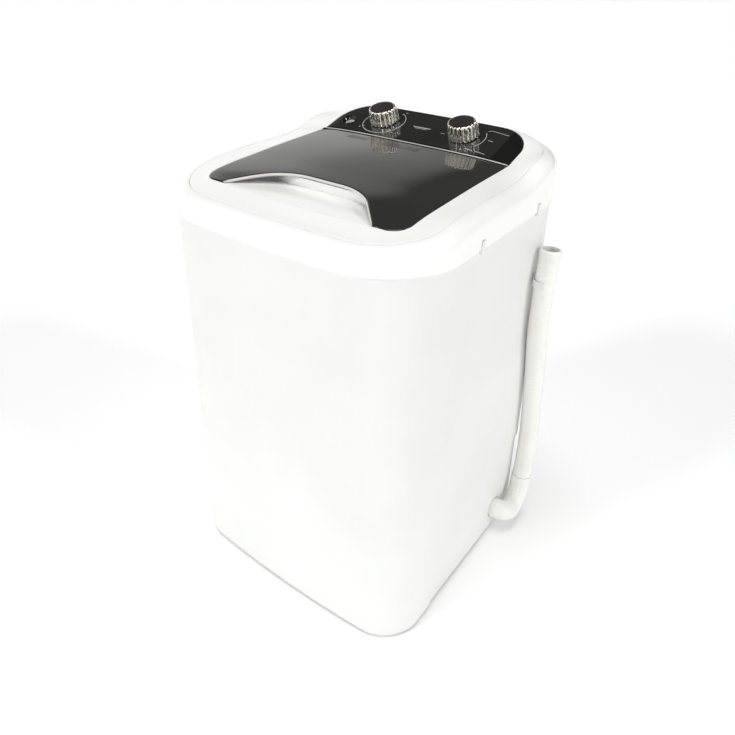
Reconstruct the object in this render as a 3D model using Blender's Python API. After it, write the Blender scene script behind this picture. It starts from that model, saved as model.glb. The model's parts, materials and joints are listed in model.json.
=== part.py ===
"""Portable top-load washing machine with a hinged lid, two rotary controls and a gravity drain hose.

Metres, +Z up, front towards -Y, the user's right towards +X. The origin is on the floor under the
middle of the body. Every named object is one separate piece of the machine.
"""

import math

import bmesh
import bpy
from mathutils import Vector

for old in list(bpy.data.objects):
    bpy.data.objects.remove(old, do_unlink=True)

MM = 0.001

# Overall sizes.
BODY_WIDTH = 370 * MM
BODY_DEPTH = 378.2 * MM
COLLAR_Z = 502 * MM
FOOT_HEIGHT = 5 * MM
BASE_WIDTH = 352 * MM
BASE_DEPTH = 351.7 * MM
BASE_REAR = 176.2 * MM
TOP_RADIUS = 85 * MM
BASE_RADIUS = 49 * MM
FRONT_BOW = 9 * MM
WALL = 2.5 * MM
LEDGE = 10 * MM
LEDGE_GAP = 2.6 * MM
FIT = 0.3 * MM

# Cabinet details.
SHELL_TOP = COLLAR_Z + 5 * MM
STEP_Y = -87.5 * MM
STEP_TOP = 143 * MM
STEP_IN = 2 * MM
REAR_LIFT = 6 * MM

# Top deck, lid and control panel.
SEAM_INSET = 18.3 * MM
SHOULDER = 17 * MM
PANEL_HALF = 138 * MM
PANEL_FRONT = -132.7 * MM
PANEL_REAR = 159.5 * MM
PANEL_FRONT_RADIUS = 20 * MM
PANEL_REAR_RADIUS = 43 * MM
PANEL_THICK = 3 * MM
PANEL_BOW = 6.5 * MM
DECK_THICK = 6.6 * MM
HINGE_Y = 84.2 * MM
BEAD_RADIUS = 2.6 * MM
TROUGH_RADIUS = BEAD_RADIUS + 2 * MM
CROWN = 3 * MM
KINK_Y = 86.8 * MM
PIN_RADIUS = 1.3 * MM
CONSOLE_FRONT = KINK_Y + 1.8 * MM
RIM_HALF = 112 * MM
RIM_FRONT = -76.5 * MM
RIM_REAR = 72 * MM
RIM_RADIUS = 56 * MM
RIM_WALL = 4 * MM
RIM_DROP = 5 * MM
CUT_REAR = -77.5 * MM
CUT_REAR_HALF = 53 * MM
CUT_FRONT_HALF = 104 * MM
CUT_RADIUS = 70 * MM
SHELF_FRONT_Z = COLLAR_Z + 30 * MM
SHELF_REAR_Z = COLLAR_Z + 25.5 * MM
CUT_LOW = COLLAR_Z - 102 * MM
CUT_HIGH = COLLAR_Z + 198 * MM

# Controls.
TIMER_X = -64 * MM
SELECTOR_X = 57 * MM
KNOB_Y = 123 * MM
KNOB_RADIUS = 19 * MM
KNOB_HEIGHT = 21 * MM
SHAFT_RADIUS = 3 * MM
INLET_X = -117 * MM
INLET_Y = 115 * MM
INLET_RADIUS = 11 * MM

# Wash tub and drive.
TUB_RADIUS = 150 * MM
TUB_FLOOR = 200 * MM
TUB_WALL = 2.5 * MM
PULSATOR_RADIUS = 88 * MM
DRIVE_SHAFT = 5 * MM
PULLEY_RADIUS = 72 * MM
PULLEY_Z = 66 * MM
MOTOR_PULLEY_RADIUS = 12 * MM
MOTOR_X = -92 * MM
MOTOR_Y = -82 * MM
MOTOR_RADIUS = 50 * MM
MOTOR_BASE = 86 * MM
MOTOR_TOP = 166 * MM
BRACKET_THICK = 2.5 * MM

# Drain.
HOSE_RADIUS = 13.2 * MM
DRAIN_X = TUB_RADIUS - 72 * MM
DRAIN_Y = TUB_RADIUS - 72 * MM

# Height of the panel edge and of the deck's outer seam, front to rear.
EDGE_LINE = (
    (-190 * MM, COLLAR_Z + 23.5 * MM),
    (PANEL_FRONT, COLLAR_Z + 30.5 * MM),
    (-105 * MM, COLLAR_Z + 35 * MM),
    (-42.5 * MM, COLLAR_Z + 39 * MM),
    (16 * MM, COLLAR_Z + 41.8 * MM),
    (KINK_Y, COLLAR_Z + 43.8 * MM),
    (PANEL_REAR, COLLAR_Z + 66 * MM),
    (190 * MM, COLLAR_Z + 68 * MM),
)
SEAM_LINE = (
    (-190 * MM, COLLAR_Z + 24.5 * MM),
    (-164.5 * MM, COLLAR_Z + 26.5 * MM),
    (-123.5 * MM, COLLAR_Z + 31 * MM),
    (-83.5 * MM, COLLAR_Z + 37 * MM),
    (-29.5 * MM, COLLAR_Z + 39.8 * MM),
    (61.5 * MM, COLLAR_Z + 42.3 * MM),
    (98.5 * MM, COLLAR_Z + 53 * MM),
    (140 * MM, COLLAR_Z + 56.5 * MM),
    (190 * MM, COLLAR_Z + 60 * MM),
)
X_STATIONS = [v * MM for v in (-176, -167, -152, -138, -116, -80, -28, 28, 80, 116, 138, 152,
                               167, 176)]
Y_STATIONS = [v * MM for v in (-192, -164.5, -148, -132.7, -105, -83.5, -42.5, 16, 61.5, 86.8,
                               98.5, 118, 140, 159.5, 172, 192)]


def along(line, y):
    """Height at y on a line of (y, z) points joined by straight runs."""
    for (y0, z0), (y1, z1) in zip(line, line[1:]):
        if y <= y1:
            return z0 + (z1 - z0) * (y - y0) / (y1 - y0)
    return line[-1][1]


def outside_panel(x, y):
    """How far a point lies outside the rounded outline of the lid and control panel."""
    middle = (PANEL_FRONT + PANEL_REAR) / 2
    radius = PANEL_FRONT_RADIUS if y < middle else PANEL_REAR_RADIUS
    over_x = abs(x) - (PANEL_HALF - radius)
    over_y = abs(y - middle) - ((PANEL_REAR - PANEL_FRONT) / 2 - radius)
    return math.hypot(max(over_x, 0), max(over_y, 0)) + min(max(over_x, over_y), 0) - radius


def deck_height(x, y):
    """Height of the finished top surface: a crowned panel, blending out to the seam."""
    edge = along(EDGE_LINE, y)
    crown = CROWN * (1 - min(abs(x) / PANEL_HALF, 1) ** 4)
    blend = min(max(outside_panel(x, y) / (28 * MM), 0), 1)
    return (edge + crown) * (1 - blend) + along(SEAM_LINE, y) * blend


def material(name, colour, rough, metal=0.0):
    made = bpy.data.materials.new(name)
    made.use_nodes = True
    shader = made.node_tree.nodes["Principled BSDF"]
    linear = [((c + 0.055) / 1.055) ** 2.4 if c > 0.04045 else c / 12.92 for c in colour]
    shader.inputs["Base Color"].default_value = (*linear, 1)
    shader.inputs["Roughness"].default_value = rough
    shader.inputs["Metallic"].default_value = metal
    made.diffuse_color = (*linear, 1)
    return made


WHITE = material("cabinet_white", (0.93, 0.94, 0.93), 0.35)
DECK = material("deck_white", (0.95, 0.95, 0.94), 0.3)
SMOKED = material("smoked_lid", (0.17, 0.17, 0.16), 0.12)
BLACK = material("panel_black", (0.08, 0.08, 0.08), 0.15)
CHROME = material("chrome_trim", (0.80, 0.79, 0.76), 0.12, 1.0)
STEEL = material("zinc_steel", (0.62, 0.62, 0.60), 0.38, 1.0)
RUBBER = material("black_rubber", (0.07, 0.07, 0.07), 0.8)
HOSE = material("hose_cream", (0.91, 0.91, 0.87), 0.5)
TUB = material("tub_grey", (0.86, 0.87, 0.87), 0.4)
TEAL = material("pulsator_blue", (0.42, 0.58, 0.68), 0.4)
NYLON = material("dark_nylon", (0.12, 0.12, 0.13), 0.5)
ALLOY = material("cast_alloy", (0.66, 0.66, 0.65), 0.5, 1.0)
CAN = material("motor_enamel", (0.20, 0.21, 0.22), 0.45, 1.0)
BRONZE = material("sintered_bronze", (0.63, 0.48, 0.28), 0.45, 1.0)
MESH = material("filter_mesh", (0.50, 0.60, 0.66), 0.6)


def finish(name, bm, skin, sharp=35, at=(0, 0, 0), turn=(0, 0, 0), parent=None):
    """Turns a bmesh into a named object with outward faces and smooth shading below sharp degrees."""
    bmesh.ops.remove_doubles(bm, verts=bm.verts, dist=1e-7)
    bmesh.ops.recalc_face_normals(bm, faces=bm.faces)
    mesh = bpy.data.meshes.new(name)
    bm.to_mesh(mesh)
    bm.free()
    mesh.polygons.foreach_set("use_smooth", [True] * len(mesh.polygons))
    mesh.set_sharp_from_angle(angle=math.radians(sharp))
    mesh.materials.append(skin)
    made = bpy.data.objects.new(name, mesh)
    bpy.context.scene.collection.objects.link(made)
    made.location = at
    made.rotation_euler = turn
    made.parent = parent
    return made


def empty(name, at, turn=(0, 0, 0)):
    made = bpy.data.objects.new(name, None)
    made.empty_display_size = 20 * MM
    made.location = at
    made.rotation_euler = turn
    bpy.context.scene.collection.objects.link(made)
    return made


def helper(made):
    """Keeps a Boolean cutter out of the render."""
    made.hide_render = True
    made.display_type = "WIRE"
    return made


def combine(target, other, operation="DIFFERENCE"):
    step = target.modifiers.new(operation.title() + " " + other.name, "BOOLEAN")
    step.operation = operation
    step.solver = "EXACT"
    step.object = helper(other)
    return target


def loft(rings, closed=False):
    """Skins equal rings of points. A closed loft joins its last ring to its first."""
    bm = bmesh.new()
    loops = [[bm.verts.new(p) for p in ring] for ring in rings]
    count = len(rings[0])
    pairs = list(zip(loops, loops[1:]))
    if closed:
        pairs.append((loops[-1], loops[0]))
    for a, b in pairs:
        for i in range(count):
            j = (i + 1) % count
            bm.faces.new((a[i], a[j], b[j], b[i]))
    if not closed:
        bm.faces.new(loops[0])
        bm.faces.new(loops[-1])
    return bm


def lathe(profile, steps=40, closed=True):
    """Spins (radius, height) points about Z. An open profile starts and ends on the axis."""
    bm = bmesh.new()
    verts = [bm.verts.new((r, 0, z)) for r, z in profile]
    ends = verts[1:] + verts[:1] if closed else verts[1:]
    edges = [bm.edges.new(pair) for pair in zip(verts, ends)]
    bmesh.ops.spin(bm, geom=verts + edges, cent=(0, 0, 0), axis=(0, 0, 1),
                   angle=2 * math.pi, steps=steps, use_merge=True)
    bmesh.ops.remove_doubles(bm, verts=bm.verts, dist=1e-6)
    bare = [edge for edge in bm.edges if not edge.link_faces]
    bmesh.ops.delete(bm, geom=bare, context="EDGES")
    return bm


def block(low, high, bevel=0.0):
    """An upright box between two corners, its edges bevelled if asked."""
    bm = bmesh.new()
    bmesh.ops.create_cube(bm, size=1)
    for vert in bm.verts:
        vert.co = Vector([(a + b) / 2 + (b - a) * c for a, b, c in zip(low, high, vert.co)])
    if bevel:
        bmesh.ops.bevel(bm, geom=bm.edges[:], offset=bevel, segments=2, profile=0.5,
                        affect="EDGES")
    return bm


def prism(outline, z0, z1):
    """Extrudes a flat closed outline from z0 to z1."""
    return loft([[(x, y, z) for x, y in outline] for z in (z0, z1)])


def cylinder(radius, z0, z1, steps=32):
    return lathe([(0, z0), (radius, z0), (radius, z1), (0, z1)], steps, closed=False)


def plan(half, front, rear, r_front, r_rear, bow=0.0, corner=7, side=(-89, -86, 0, 61.5, 98.5), face=7):
    """Rounded rectangular outline, anticlockwise from the right side's rear corner."""
    points = []

    def arc(cx, cy, radius, start):
        for i in range(corner + 1):
            angle = start + math.pi / 2 * i / corner
            points.append((cx + radius * math.cos(angle), cy + radius * math.sin(angle)))

    arc(half - r_rear, rear - r_rear, r_rear, 0)
    for i in range(1, 4):
        points.append(((half - r_rear) * (1 - i / 2), rear))
    arc(-half + r_rear, rear - r_rear, r_rear, math.pi / 2)
    for y in reversed(side):
        points.append((-half, y * MM))
    arc(-half + r_front, front + r_front, r_front, math.pi)
    for i in range(1, face + 1):
        points.append(((half - r_front) * (2 * i / (face + 1) - 1), front))
    arc(half - r_front, front + r_front, r_front, 1.5 * math.pi)
    for y in side:
        points.append((half, y * MM))
    middle = (front + rear) / 2
    bowed = []
    for x, y in points:
        share = max((middle - y) / (middle - front), 0)
        bowed.append((x, y - bow * share * (1 - (x / half) ** 2)))
    return bowed


def slab(top_drop, bottom_drop, level=None):
    """A plate that follows the deck surface, from top_drop to bottom_drop below it."""
    bm = bmesh.new()
    grids = []
    for drop in (top_drop, bottom_drop):
        flat = level is not None and drop is top_drop
        grids.append([[bm.verts.new((x, y, level if flat else deck_height(x, y) - drop))
                       for x in X_STATIONS] for y in Y_STATIONS])
    rows, columns = len(Y_STATIONS), len(X_STATIONS)
    for grid in grids:
        for j in range(rows - 1):
            for i in range(columns - 1):
                a, b = grid[j][i], grid[j][i + 1]
                c, d = grid[j + 1][i + 1], grid[j + 1][i]
                bm.faces.new((a, b, c))
                bm.faces.new((a, c, d))
    top, bottom = grids
    border = [(0, i) for i in range(columns)] + [(j, columns - 1) for j in range(1, rows)]
    border += [(rows - 1, i) for i in range(columns - 2, -1, -1)]
    border += [(j, 0) for j in range(rows - 2, 0, -1)]
    for (j0, i0), (j1, i1) in zip(border, border[1:] + border[:1]):
        bm.faces.new((top[j0][i0], top[j1][i1], bottom[j1][i1], bottom[j0][i0]))
    return bm


def pipe(path, outer, inner, sides=18):
    """A hollow tube along a route of points, open at both ends."""
    path = [Vector(p) for p in path]
    rings_out, rings_in = [], []
    up = Vector((0, 0, 1))
    first = (path[1] - path[0]).normalized()
    across = first.cross(up if abs(first.z) < 0.9 else Vector((1, 0, 0))).normalized()
    for i, point in enumerate(path):
        ahead = path[min(i + 1, len(path) - 1)] - path[max(i - 1, 0)]
        ahead.normalize()
        across = (across - ahead * across.dot(ahead)).normalized()
        third = ahead.cross(across)
        for rings, radius in ((rings_out, outer), (rings_in, inner)):
            rings.append([point + radius * (across * math.cos(a) + third * math.sin(a))
                          for a in (2 * math.pi * k / sides for k in range(sides))])
    return loft(rings_out + rings_in[::-1], closed=True)


def smooth_route(points, count):
    """A smooth curve through hand-placed points, read at count even steps."""
    points = [Vector(p) for p in points]
    padded = [2 * points[0] - points[1], *points, 2 * points[-1] - points[-2]]
    fine = []
    for a, b, c, d in zip(padded, padded[1:], padded[2:], padded[3:]):
        for k in range(24):
            t = k / 24
            fine.append(0.5 * (2 * b + (c - a) * t + (2 * a - 5 * b + 4 * c - d) * t * t
                               + (3 * b - a - 3 * c + d) * t ** 3))
    fine.append(points[-1])
    lengths = [0.0]
    for a, b in zip(fine, fine[1:]):
        lengths.append(lengths[-1] + (b - a).length)
    read, at = [], 0
    for k in range(count):
        want = lengths[-1] * k / (count - 1)
        while at < len(lengths) - 2 and lengths[at + 1] < want:
            at += 1
        share = (want - lengths[at]) / (lengths[at + 1] - lengths[at])
        read.append(fine[at].lerp(fine[at + 1], share))
    return read


# ---------------------------------------------------------------- cabinet and collar
SHELL_HALF = BODY_WIDTH / 2 - WALL
COLLAR_FRONT = -BODY_DEPTH / 2 + FRONT_BOW
COLLAR_REAR = BODY_DEPTH / 2


def shell_ring(z, inset, where):
    """Cabinet outline at height z. where is 'step' on rings with the stepped lower rear."""
    share = min((z - FOOT_HEIGHT) / (COLLAR_Z - FOOT_HEIGHT), 1)
    half = BASE_WIDTH / 2 + (SHELL_HALF - BASE_WIDTH / 2) * share
    base_front = BASE_REAR - BASE_DEPTH + FRONT_BOW
    front = base_front + (COLLAR_FRONT + WALL - base_front) * share
    rear = BASE_REAR + (COLLAR_REAR - WALL - BASE_REAR) * share
    radius = BASE_RADIUS + (TOP_RADIUS - WALL - BASE_RADIUS) * share
    outline = plan(half - inset, front + inset, rear - inset, radius - inset, radius - inset,
                   FRONT_BOW)
    ring = []
    for x, y in outline:
        behind = y > STEP_Y
        if where == "step" and behind:
            x -= math.copysign(STEP_IN, x) * min(abs(x) / (half - inset), 1)
            y -= STEP_IN * max(y, 0) / rear
        low = FOOT_HEIGHT + REAR_LIFT if behind and z == FOOT_HEIGHT else z
        ring.append((x, y, low))
    return ring


levels = ((FOOT_HEIGHT, "step"), (STEP_TOP - 2 * MM, "step"), (STEP_TOP + 1 * MM, "plain"),
          (300 * MM, "plain"), (COLLAR_Z, "plain"), (SHELL_TOP, "plain"))
rings = [shell_ring(z, 0, where) for z, where in levels]
rings += [shell_ring(z, WALL, where) for z, where in reversed(levels)]
cabinet = finish("cabinet_shell", loft(rings, closed=True), WHITE)


def collar_ring(inset, rise, from_seam=True):
    """Collar outline at an inset, at a height measured from the seam or from the floor."""
    outline = plan(BODY_WIDTH / 2 - inset, COLLAR_FRONT + inset, COLLAR_REAR - inset,
                   TOP_RADIUS - inset, TOP_RADIUS - inset, FRONT_BOW)
    seam = plan(BODY_WIDTH / 2 - SEAM_INSET, COLLAR_FRONT + SEAM_INSET,
                COLLAR_REAR - SEAM_INSET, TOP_RADIUS - SEAM_INSET, TOP_RADIUS - SEAM_INSET,
                FRONT_BOW)
    ring = []
    for (x, y), (sx, sy) in zip(outline, seam):
        ring.append((x, y, along(SEAM_LINE, sy) + rise if from_seam else rise))
    return ring


rings = [collar_ring(0.8 * MM, COLLAR_Z, False), collar_ring(0, COLLAR_Z + 1.5 * MM, False)]
for i in range(6):
    angle = math.pi / 2 * i / 5
    reach = (SEAM_INSET - FIT) * (1 - math.cos(angle))
    rings.append(collar_ring(reach, -SHOULDER * (1 - math.sin(angle))))
rings.append(collar_ring(SEAM_INSET - FIT, -DECK_THICK - LEDGE_GAP))
rings.append(collar_ring(SEAM_INSET + LEDGE, -DECK_THICK - LEDGE_GAP))
rings.append(collar_ring(SEAM_INSET + LEDGE, -DECK_THICK - LEDGE_GAP - WALL))
rings.append(collar_ring(SEAM_INSET - 2 * MM, -DECK_THICK - LEDGE_GAP - WALL))
rings.append(collar_ring(SEAM_INSET * 0.34, -SHOULDER * 0.48))
rings.append(collar_ring(WALL - FIT, -SHOULDER))
rings.append(collar_ring(WALL - FIT, COLLAR_Z, False))
collar = finish("top_collar", loft(rings, closed=True), DECK)

# Snap latches: a tongue on the cabinet in a slot of the collar's lower edge, two on each side.
LATCH_SPOTS = (("front", -53.5 * MM), ("rear", 80.5 * MM))
for side, sign in (("right", 1), ("left", -1)):
    for end, y in LATCH_SPOTS:
        slot_x = sign * (BODY_WIDTH / 2 - 7 * MM)
        slot = block((slot_x - 12 * MM, y - 3.3 * MM, COLLAR_Z - 4 * MM),
                     (slot_x + 12 * MM, y + 3.3 * MM, COLLAR_Z + 11 * MM))
        cutter = finish(f"cut_latch_{side}_{end}", slot, DECK)
        combine(collar, cutter)
        inner = SHELL_HALF + FIT
        outer = BODY_WIDTH / 2 + 1 * MM
        xs = sorted((sign * inner, sign * outer))
        finish(f"collar_latch_{side}_{end}",
               block((xs[0], y - 2.8 * MM, COLLAR_Z - 4 * MM),
                     (xs[1], y + 2.8 * MM, COLLAR_Z + 10.4 * MM), 0.5 * MM), WHITE)

# ---------------------------------------------------------------- deck, lid and control panel
seam_plan = plan(BODY_WIDTH / 2 - SEAM_INSET, COLLAR_FRONT + SEAM_INSET, COLLAR_REAR - SEAM_INSET,
                 TOP_RADIUS - SEAM_INSET, TOP_RADIUS - SEAM_INSET, FRONT_BOW)


def panel_plan(gap, rear=PANEL_REAR, r_rear=PANEL_REAR_RADIUS):
    return plan(PANEL_HALF + gap, PANEL_FRONT - gap, rear + gap, PANEL_FRONT_RADIUS + gap,
                r_rear + gap, PANEL_BOW, side=(-60, -20, 20, 50))


deck = finish("top_deck", slab(0, DECK_THICK), DECK)
combine(deck, finish("cut_deck_edge", prism(seam_plan, CUT_LOW, CUT_HIGH), DECK), "INTERSECT")


def shelf_ring(grow, height=None):
    """Outline of the finger shelf under the lid's cut-out, at its floor or at one height."""
    outline = ((84, -61), (100, -112), (105, -124), (103, -131.5), (52, -136.4), (0, -138.4))
    outline = outline + tuple((-x, y) for x, y in reversed(outline[:-1]))
    ring = []
    for x, y in outline:
        x, y = x * MM + math.copysign(grow, x) * (x != 0), y * MM
        y += grow if y > -80 * MM else -grow * 0.2
        share = (y - PANEL_FRONT) / (RIM_FRONT - PANEL_FRONT)
        floor = SHELF_FRONT_Z + (SHELF_REAR_Z - SHELF_FRONT_Z) * share
        ring.append((x, y, floor - grow if height is None else height))
    return ring


combine(deck, finish("add_shelf", loft([shelf_ring(WALL),
                                        shelf_ring(WALL, COLLAR_Z + 33.5 * MM)]), DECK),
        "UNION")
recess = finish("cut_recess", slab(0, PANEL_THICK + FIT, level=COLLAR_Z + 118 * MM), DECK)
combine(recess, finish("cut_recess_edge", prism(panel_plan(0.5 * MM), CUT_LOW, CUT_HIGH), DECK),
        "INTERSECT")
combine(deck, recess)
combine(deck, finish("cut_shelf", loft([shelf_ring(0), shelf_ring(0, COLLAR_Z + 58 * MM)]), DECK))


def rim_plan(inset):
    return plan(RIM_HALF - inset, RIM_FRONT + inset, RIM_REAR - inset, RIM_RADIUS - inset,
                RIM_RADIUS - inset, side=(-20, -10, 0, 10))


combine(deck, finish("cut_mouth", prism(rim_plan(RIM_WALL / 2), CUT_LOW, CUT_HIGH), DECK))
rim_bottom = SHELL_TOP + 8 * MM
rings = []
for inset, top in ((0, False), (0, True), (RIM_WALL, True), (RIM_WALL, False)):
    rings.append([(x, y, deck_height(x, y) - RIM_DROP if top else rim_bottom)
                  for x, y in rim_plan(inset)])
combine(deck, finish("add_rim", loft(rings, closed=True), DECK), "UNION")

hinge_z = deck_height(PANEL_HALF, HINGE_Y) - BEAD_RADIUS + 1.5 * MM
trough = finish("cut_trough", cylinder(TROUGH_RADIUS, -PANEL_HALF - 0.5 * MM,
                                       PANEL_HALF + 0.5 * MM, 20), DECK,
                at=(0, HINGE_Y, hinge_z), turn=(0, math.pi / 2, 0))
combine(deck, trough)
pin_hole = finish("cut_pin_holes", cylinder(PIN_RADIUS + FIT, -PANEL_HALF - 7 * MM,
                                            PANEL_HALF + 7 * MM, 16), DECK,
                  at=(0, HINGE_Y, hinge_z), turn=(0, math.pi / 2, 0))
combine(deck, pin_hole)

# The lid turns about the bead along its rear edge.
lid_axis = empty("lid_axis", (0, HINGE_Y, hinge_z))
lid_blank = slab(0, PANEL_THICK)
bmesh.ops.translate(lid_blank, verts=lid_blank.verts, vec=(0, -HINGE_Y, -hinge_z))
lid = finish("lid_panel", lid_blank, SMOKED, parent=lid_axis)
lid_edge = [(x, y - HINGE_Y) for x, y in panel_plan(0, rear=HINGE_Y, r_rear=0.5 * MM)]
combine(lid, finish("cut_lid_edge", prism(lid_edge, -0.1, 0.1), SMOKED, parent=lid_axis),
        "INTERSECT")
bead = finish("add_lid_bead", cylinder(BEAD_RADIUS, -PANEL_HALF, PANEL_HALF, 20), SMOKED,
              turn=(0, math.pi / 2, 0), parent=lid_axis)
combine(lid, bead, "UNION")
scoop = []
corner_radius = CUT_RADIUS
turn_angle = math.atan2(CUT_FRONT_HALF - CUT_REAR_HALF, CUT_REAR - PANEL_FRONT)
sweep = math.pi / 2 - turn_angle
reach_out = corner_radius * math.tan(sweep / 2)
for i in range(11):
    angle = sweep * i / 10
    scoop.append((CUT_REAR_HALF - reach_out + corner_radius * math.sin(angle),
                  CUT_REAR - corner_radius * (1 - math.cos(angle))))
slope = (CUT_FRONT_HALF - CUT_REAR_HALF) / (CUT_REAR - PANEL_FRONT)
scoop.append((CUT_FRONT_HALF + slope * 20 * MM, PANEL_FRONT - 20 * MM))
scoop = scoop + [(-x, y) for x, y in reversed(scoop)]
combine(lid, finish("cut_scoop", prism([(x, y - HINGE_Y) for x, y in scoop], -0.1, 0.1), SMOKED,
                    parent=lid_axis))
for side, sign in (("right", 1), ("left", -1)):
    bore = finish(f"cut_lid_pin_{side}", cylinder(PIN_RADIUS + 0.2 * MM, -0.014, 0.01, 16),
                  SMOKED, at=(sign * PANEL_HALF, 0, 0), turn=(0, sign * math.pi / 2, 0),
                  parent=lid_axis)
    combine(lid, bore)
    finish(f"hinge_pin_{side}", cylinder(PIN_RADIUS, -0.0135, 0.0065, 16), STEEL,
           at=(sign * PANEL_HALF, 0, 0), turn=(0, sign * math.pi / 2, 0), parent=lid_axis)

console = finish("control_panel", slab(0, PANEL_THICK), BLACK)
combine(console, finish("cut_console_edge", prism(panel_plan(0), CUT_LOW, CUT_HIGH), BLACK),
        "INTERSECT")
combine(console, finish("cut_console_front",
                        block((-0.2, -0.3, CUT_LOW), (0.2, CONSOLE_FRONT, CUT_HIGH)), BLACK))

# Local frames on the sloping control panel: +Z out of its face.
panel_slope = math.atan2(along(EDGE_LINE, PANEL_REAR) - along(EDGE_LINE, KINK_Y),
                         PANEL_REAR - KINK_Y)


def on_panel(name, x, y):
    return empty(name, (x, y, deck_height(x, y)), (panel_slope, 0, 0))


timer_axis = on_panel("timer_axis", TIMER_X, KNOB_Y)
selector_axis = on_panel("selector_axis", SELECTOR_X, KNOB_Y)
inlet_axis = on_panel("inlet_axis", INLET_X, INLET_Y)
for name, axis, radius in (("timer", timer_axis, 5 * MM), ("selector", selector_axis, 5 * MM),
                           ("inlet", inlet_axis, INLET_RADIUS + FIT)):
    hole = finish(f"cut_{name}_hole", cylinder(radius, -30 * MM, 20 * MM, 28), BLACK, parent=axis)
    combine(console, hole)
    combine(deck, hole)


def fluted(radius, top_radius, height, flutes=16):
    """Chrome knob: fluted sides, a rounded shoulder, a dished top and a pointer rib at angle 0."""
    count = flutes * 3
    rings = []
    levels = ((0.5 * MM, radius - 0.6 * MM, 0.2), (1.2 * MM, radius, 1.0),
              (height - 3.5 * MM, top_radius + 0.8 * MM, 1.0), (height - 1 * MM, top_radius, 0.5),
              (height, top_radius - 1.2 * MM, 0), (height, top_radius - 2 * MM, 0),
              (height - 1.6 * MM, top_radius - 2 * MM, 0))
    for z, r, depth in levels:
        ring = []
        for k in range(count):
            angle = 2 * math.pi * k / count
            wave = 0.7 * MM * math.cos(flutes * angle) * depth
            rib = 2.6 * MM * depth if k in (0, 1, count - 1) else 0
            ring.append(((r + wave + rib) * math.cos(angle), (r + wave + rib) * math.sin(angle), z))
        rings.append(ring)
    return loft(rings)


for name, axis, angle in (("timer", timer_axis, 20), ("selector", selector_axis, 12)):
    turn = (0, 0, math.radians(angle))
    knob = finish(f"{name}_knob", fluted(KNOB_RADIUS, 17.5 * MM, KNOB_HEIGHT), CHROME, 50,
                  turn=turn, parent=axis)
    combine(knob, finish(f"cut_{name}_bore", cylinder(SHAFT_RADIUS + FIT, -5 * MM, 14.3 * MM, 24),
                         CHROME, parent=axis))
    combine(knob, finish(f"cut_{name}_hollow",
                         lathe([(6 * MM, -1 * MM), (15.5 * MM, -1 * MM), (15 * MM, 16 * MM),
                                (6 * MM, 16 * MM)], 28), CHROME, parent=axis))
    finish(f"{name}_knob_cap", cylinder(15.1 * MM, KNOB_HEIGHT - 1.3 * MM, KNOB_HEIGHT - 0.2 * MM,
                                        40), BLACK, turn=turn, parent=axis)
    finish(f"{name}_shaft", cylinder(SHAFT_RADIUS, -22 * MM, 14 * MM, 24), STEEL, parent=axis)

drop = -DECK_THICK - 1.2 * MM
timer = finish("timer_mechanism", block((-21 * MM, -17 * MM, drop - 20 * MM),
                                        (21 * MM, 17 * MM, drop), 1.5 * MM), NYLON,
               parent=timer_axis)
combine(timer, finish("cut_timer_seat", cylinder(SHAFT_RADIUS + FIT, -22.3 * MM, 0, 24), NYLON,
                      parent=timer_axis))
switch = finish("selector_switch", block((-16 * MM, -15 * MM, drop - 17.5 * MM),
                                         (16 * MM, 15 * MM, drop), 1.5 * MM), NYLON,
                parent=selector_axis)
combine(switch, finish("cut_switch_seat", cylinder(SHAFT_RADIUS + FIT, -22.3 * MM, 0, 24), NYLON,
                       parent=selector_axis))

# Water inlet: a cup under the panel's hole whose spout pours over the tub's edge.
cup = finish("water_inlet_cup",
             lathe([(0, -26 * MM), (INLET_RADIUS, -26 * MM), (INLET_RADIUS, -1.2 * MM),
                    (INLET_RADIUS - 1.6 * MM, -1.2 * MM), (INLET_RADIUS - 1.6 * MM, -24 * MM),
                    (0, -24 * MM)], 32, closed=False), TUB, parent=inlet_axis)
spout_start = Vector((INLET_X, INLET_Y + 5 * MM, deck_height(INLET_X, INLET_Y) - 17.5 * MM))
spout_end = Vector((-88 * MM, 84 * MM, COLLAR_Z + 26 * MM))
spout = finish("add_spout", pipe([spout_start, spout_end], 7 * MM, 3 * MM, 16), TUB)
combine(cup, spout, "UNION")
spout_line = spout_end - spout_start
bore_length = spout_line.length * 1.2
bore = finish("cut_spout", cylinder(5.6 * MM, 0, bore_length, 20), TUB, at=spout_start,
              turn=Vector((0, 0, 1)).rotation_difference(spout_line).to_euler())
combine(cup, bore)
combine(cup, finish("cut_cup", cylinder(INLET_RADIUS - 1.6 * MM, -24 * MM, 10 * MM, 32), TUB,
                    parent=inlet_axis))

# ---------------------------------------------------------------- base, feet and wash tub
PAN_FLOOR = 8 * MM
PAN_TOP = 20 * MM
POST_TOP = 72 * MM
pan_half = BASE_WIDTH / 2 - STEP_IN - WALL - 0.5 * MM
pan_front = BASE_REAR - BASE_DEPTH + FRONT_BOW + STEP_IN + WALL + 0.5 * MM
pan_rear = BASE_REAR - STEP_IN - WALL - 0.5 * MM
rings = []
for inset, z in ((2.5, PAN_FLOOR), (0, PAN_FLOOR + 2.5 * MM), (0, PAN_TOP), (2.2, PAN_TOP),
                 (2.2, PAN_FLOOR + 2.5 * MM)):
    cut = inset * MM
    rings.append([(x, y, z) for x, y in plan(pan_half - cut, pan_front + cut, pan_rear - cut,
                                             46 * MM - cut, 46 * MM - cut, FRONT_BOW)])
pan = finish("base_pan", loft(rings), WHITE)

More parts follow.
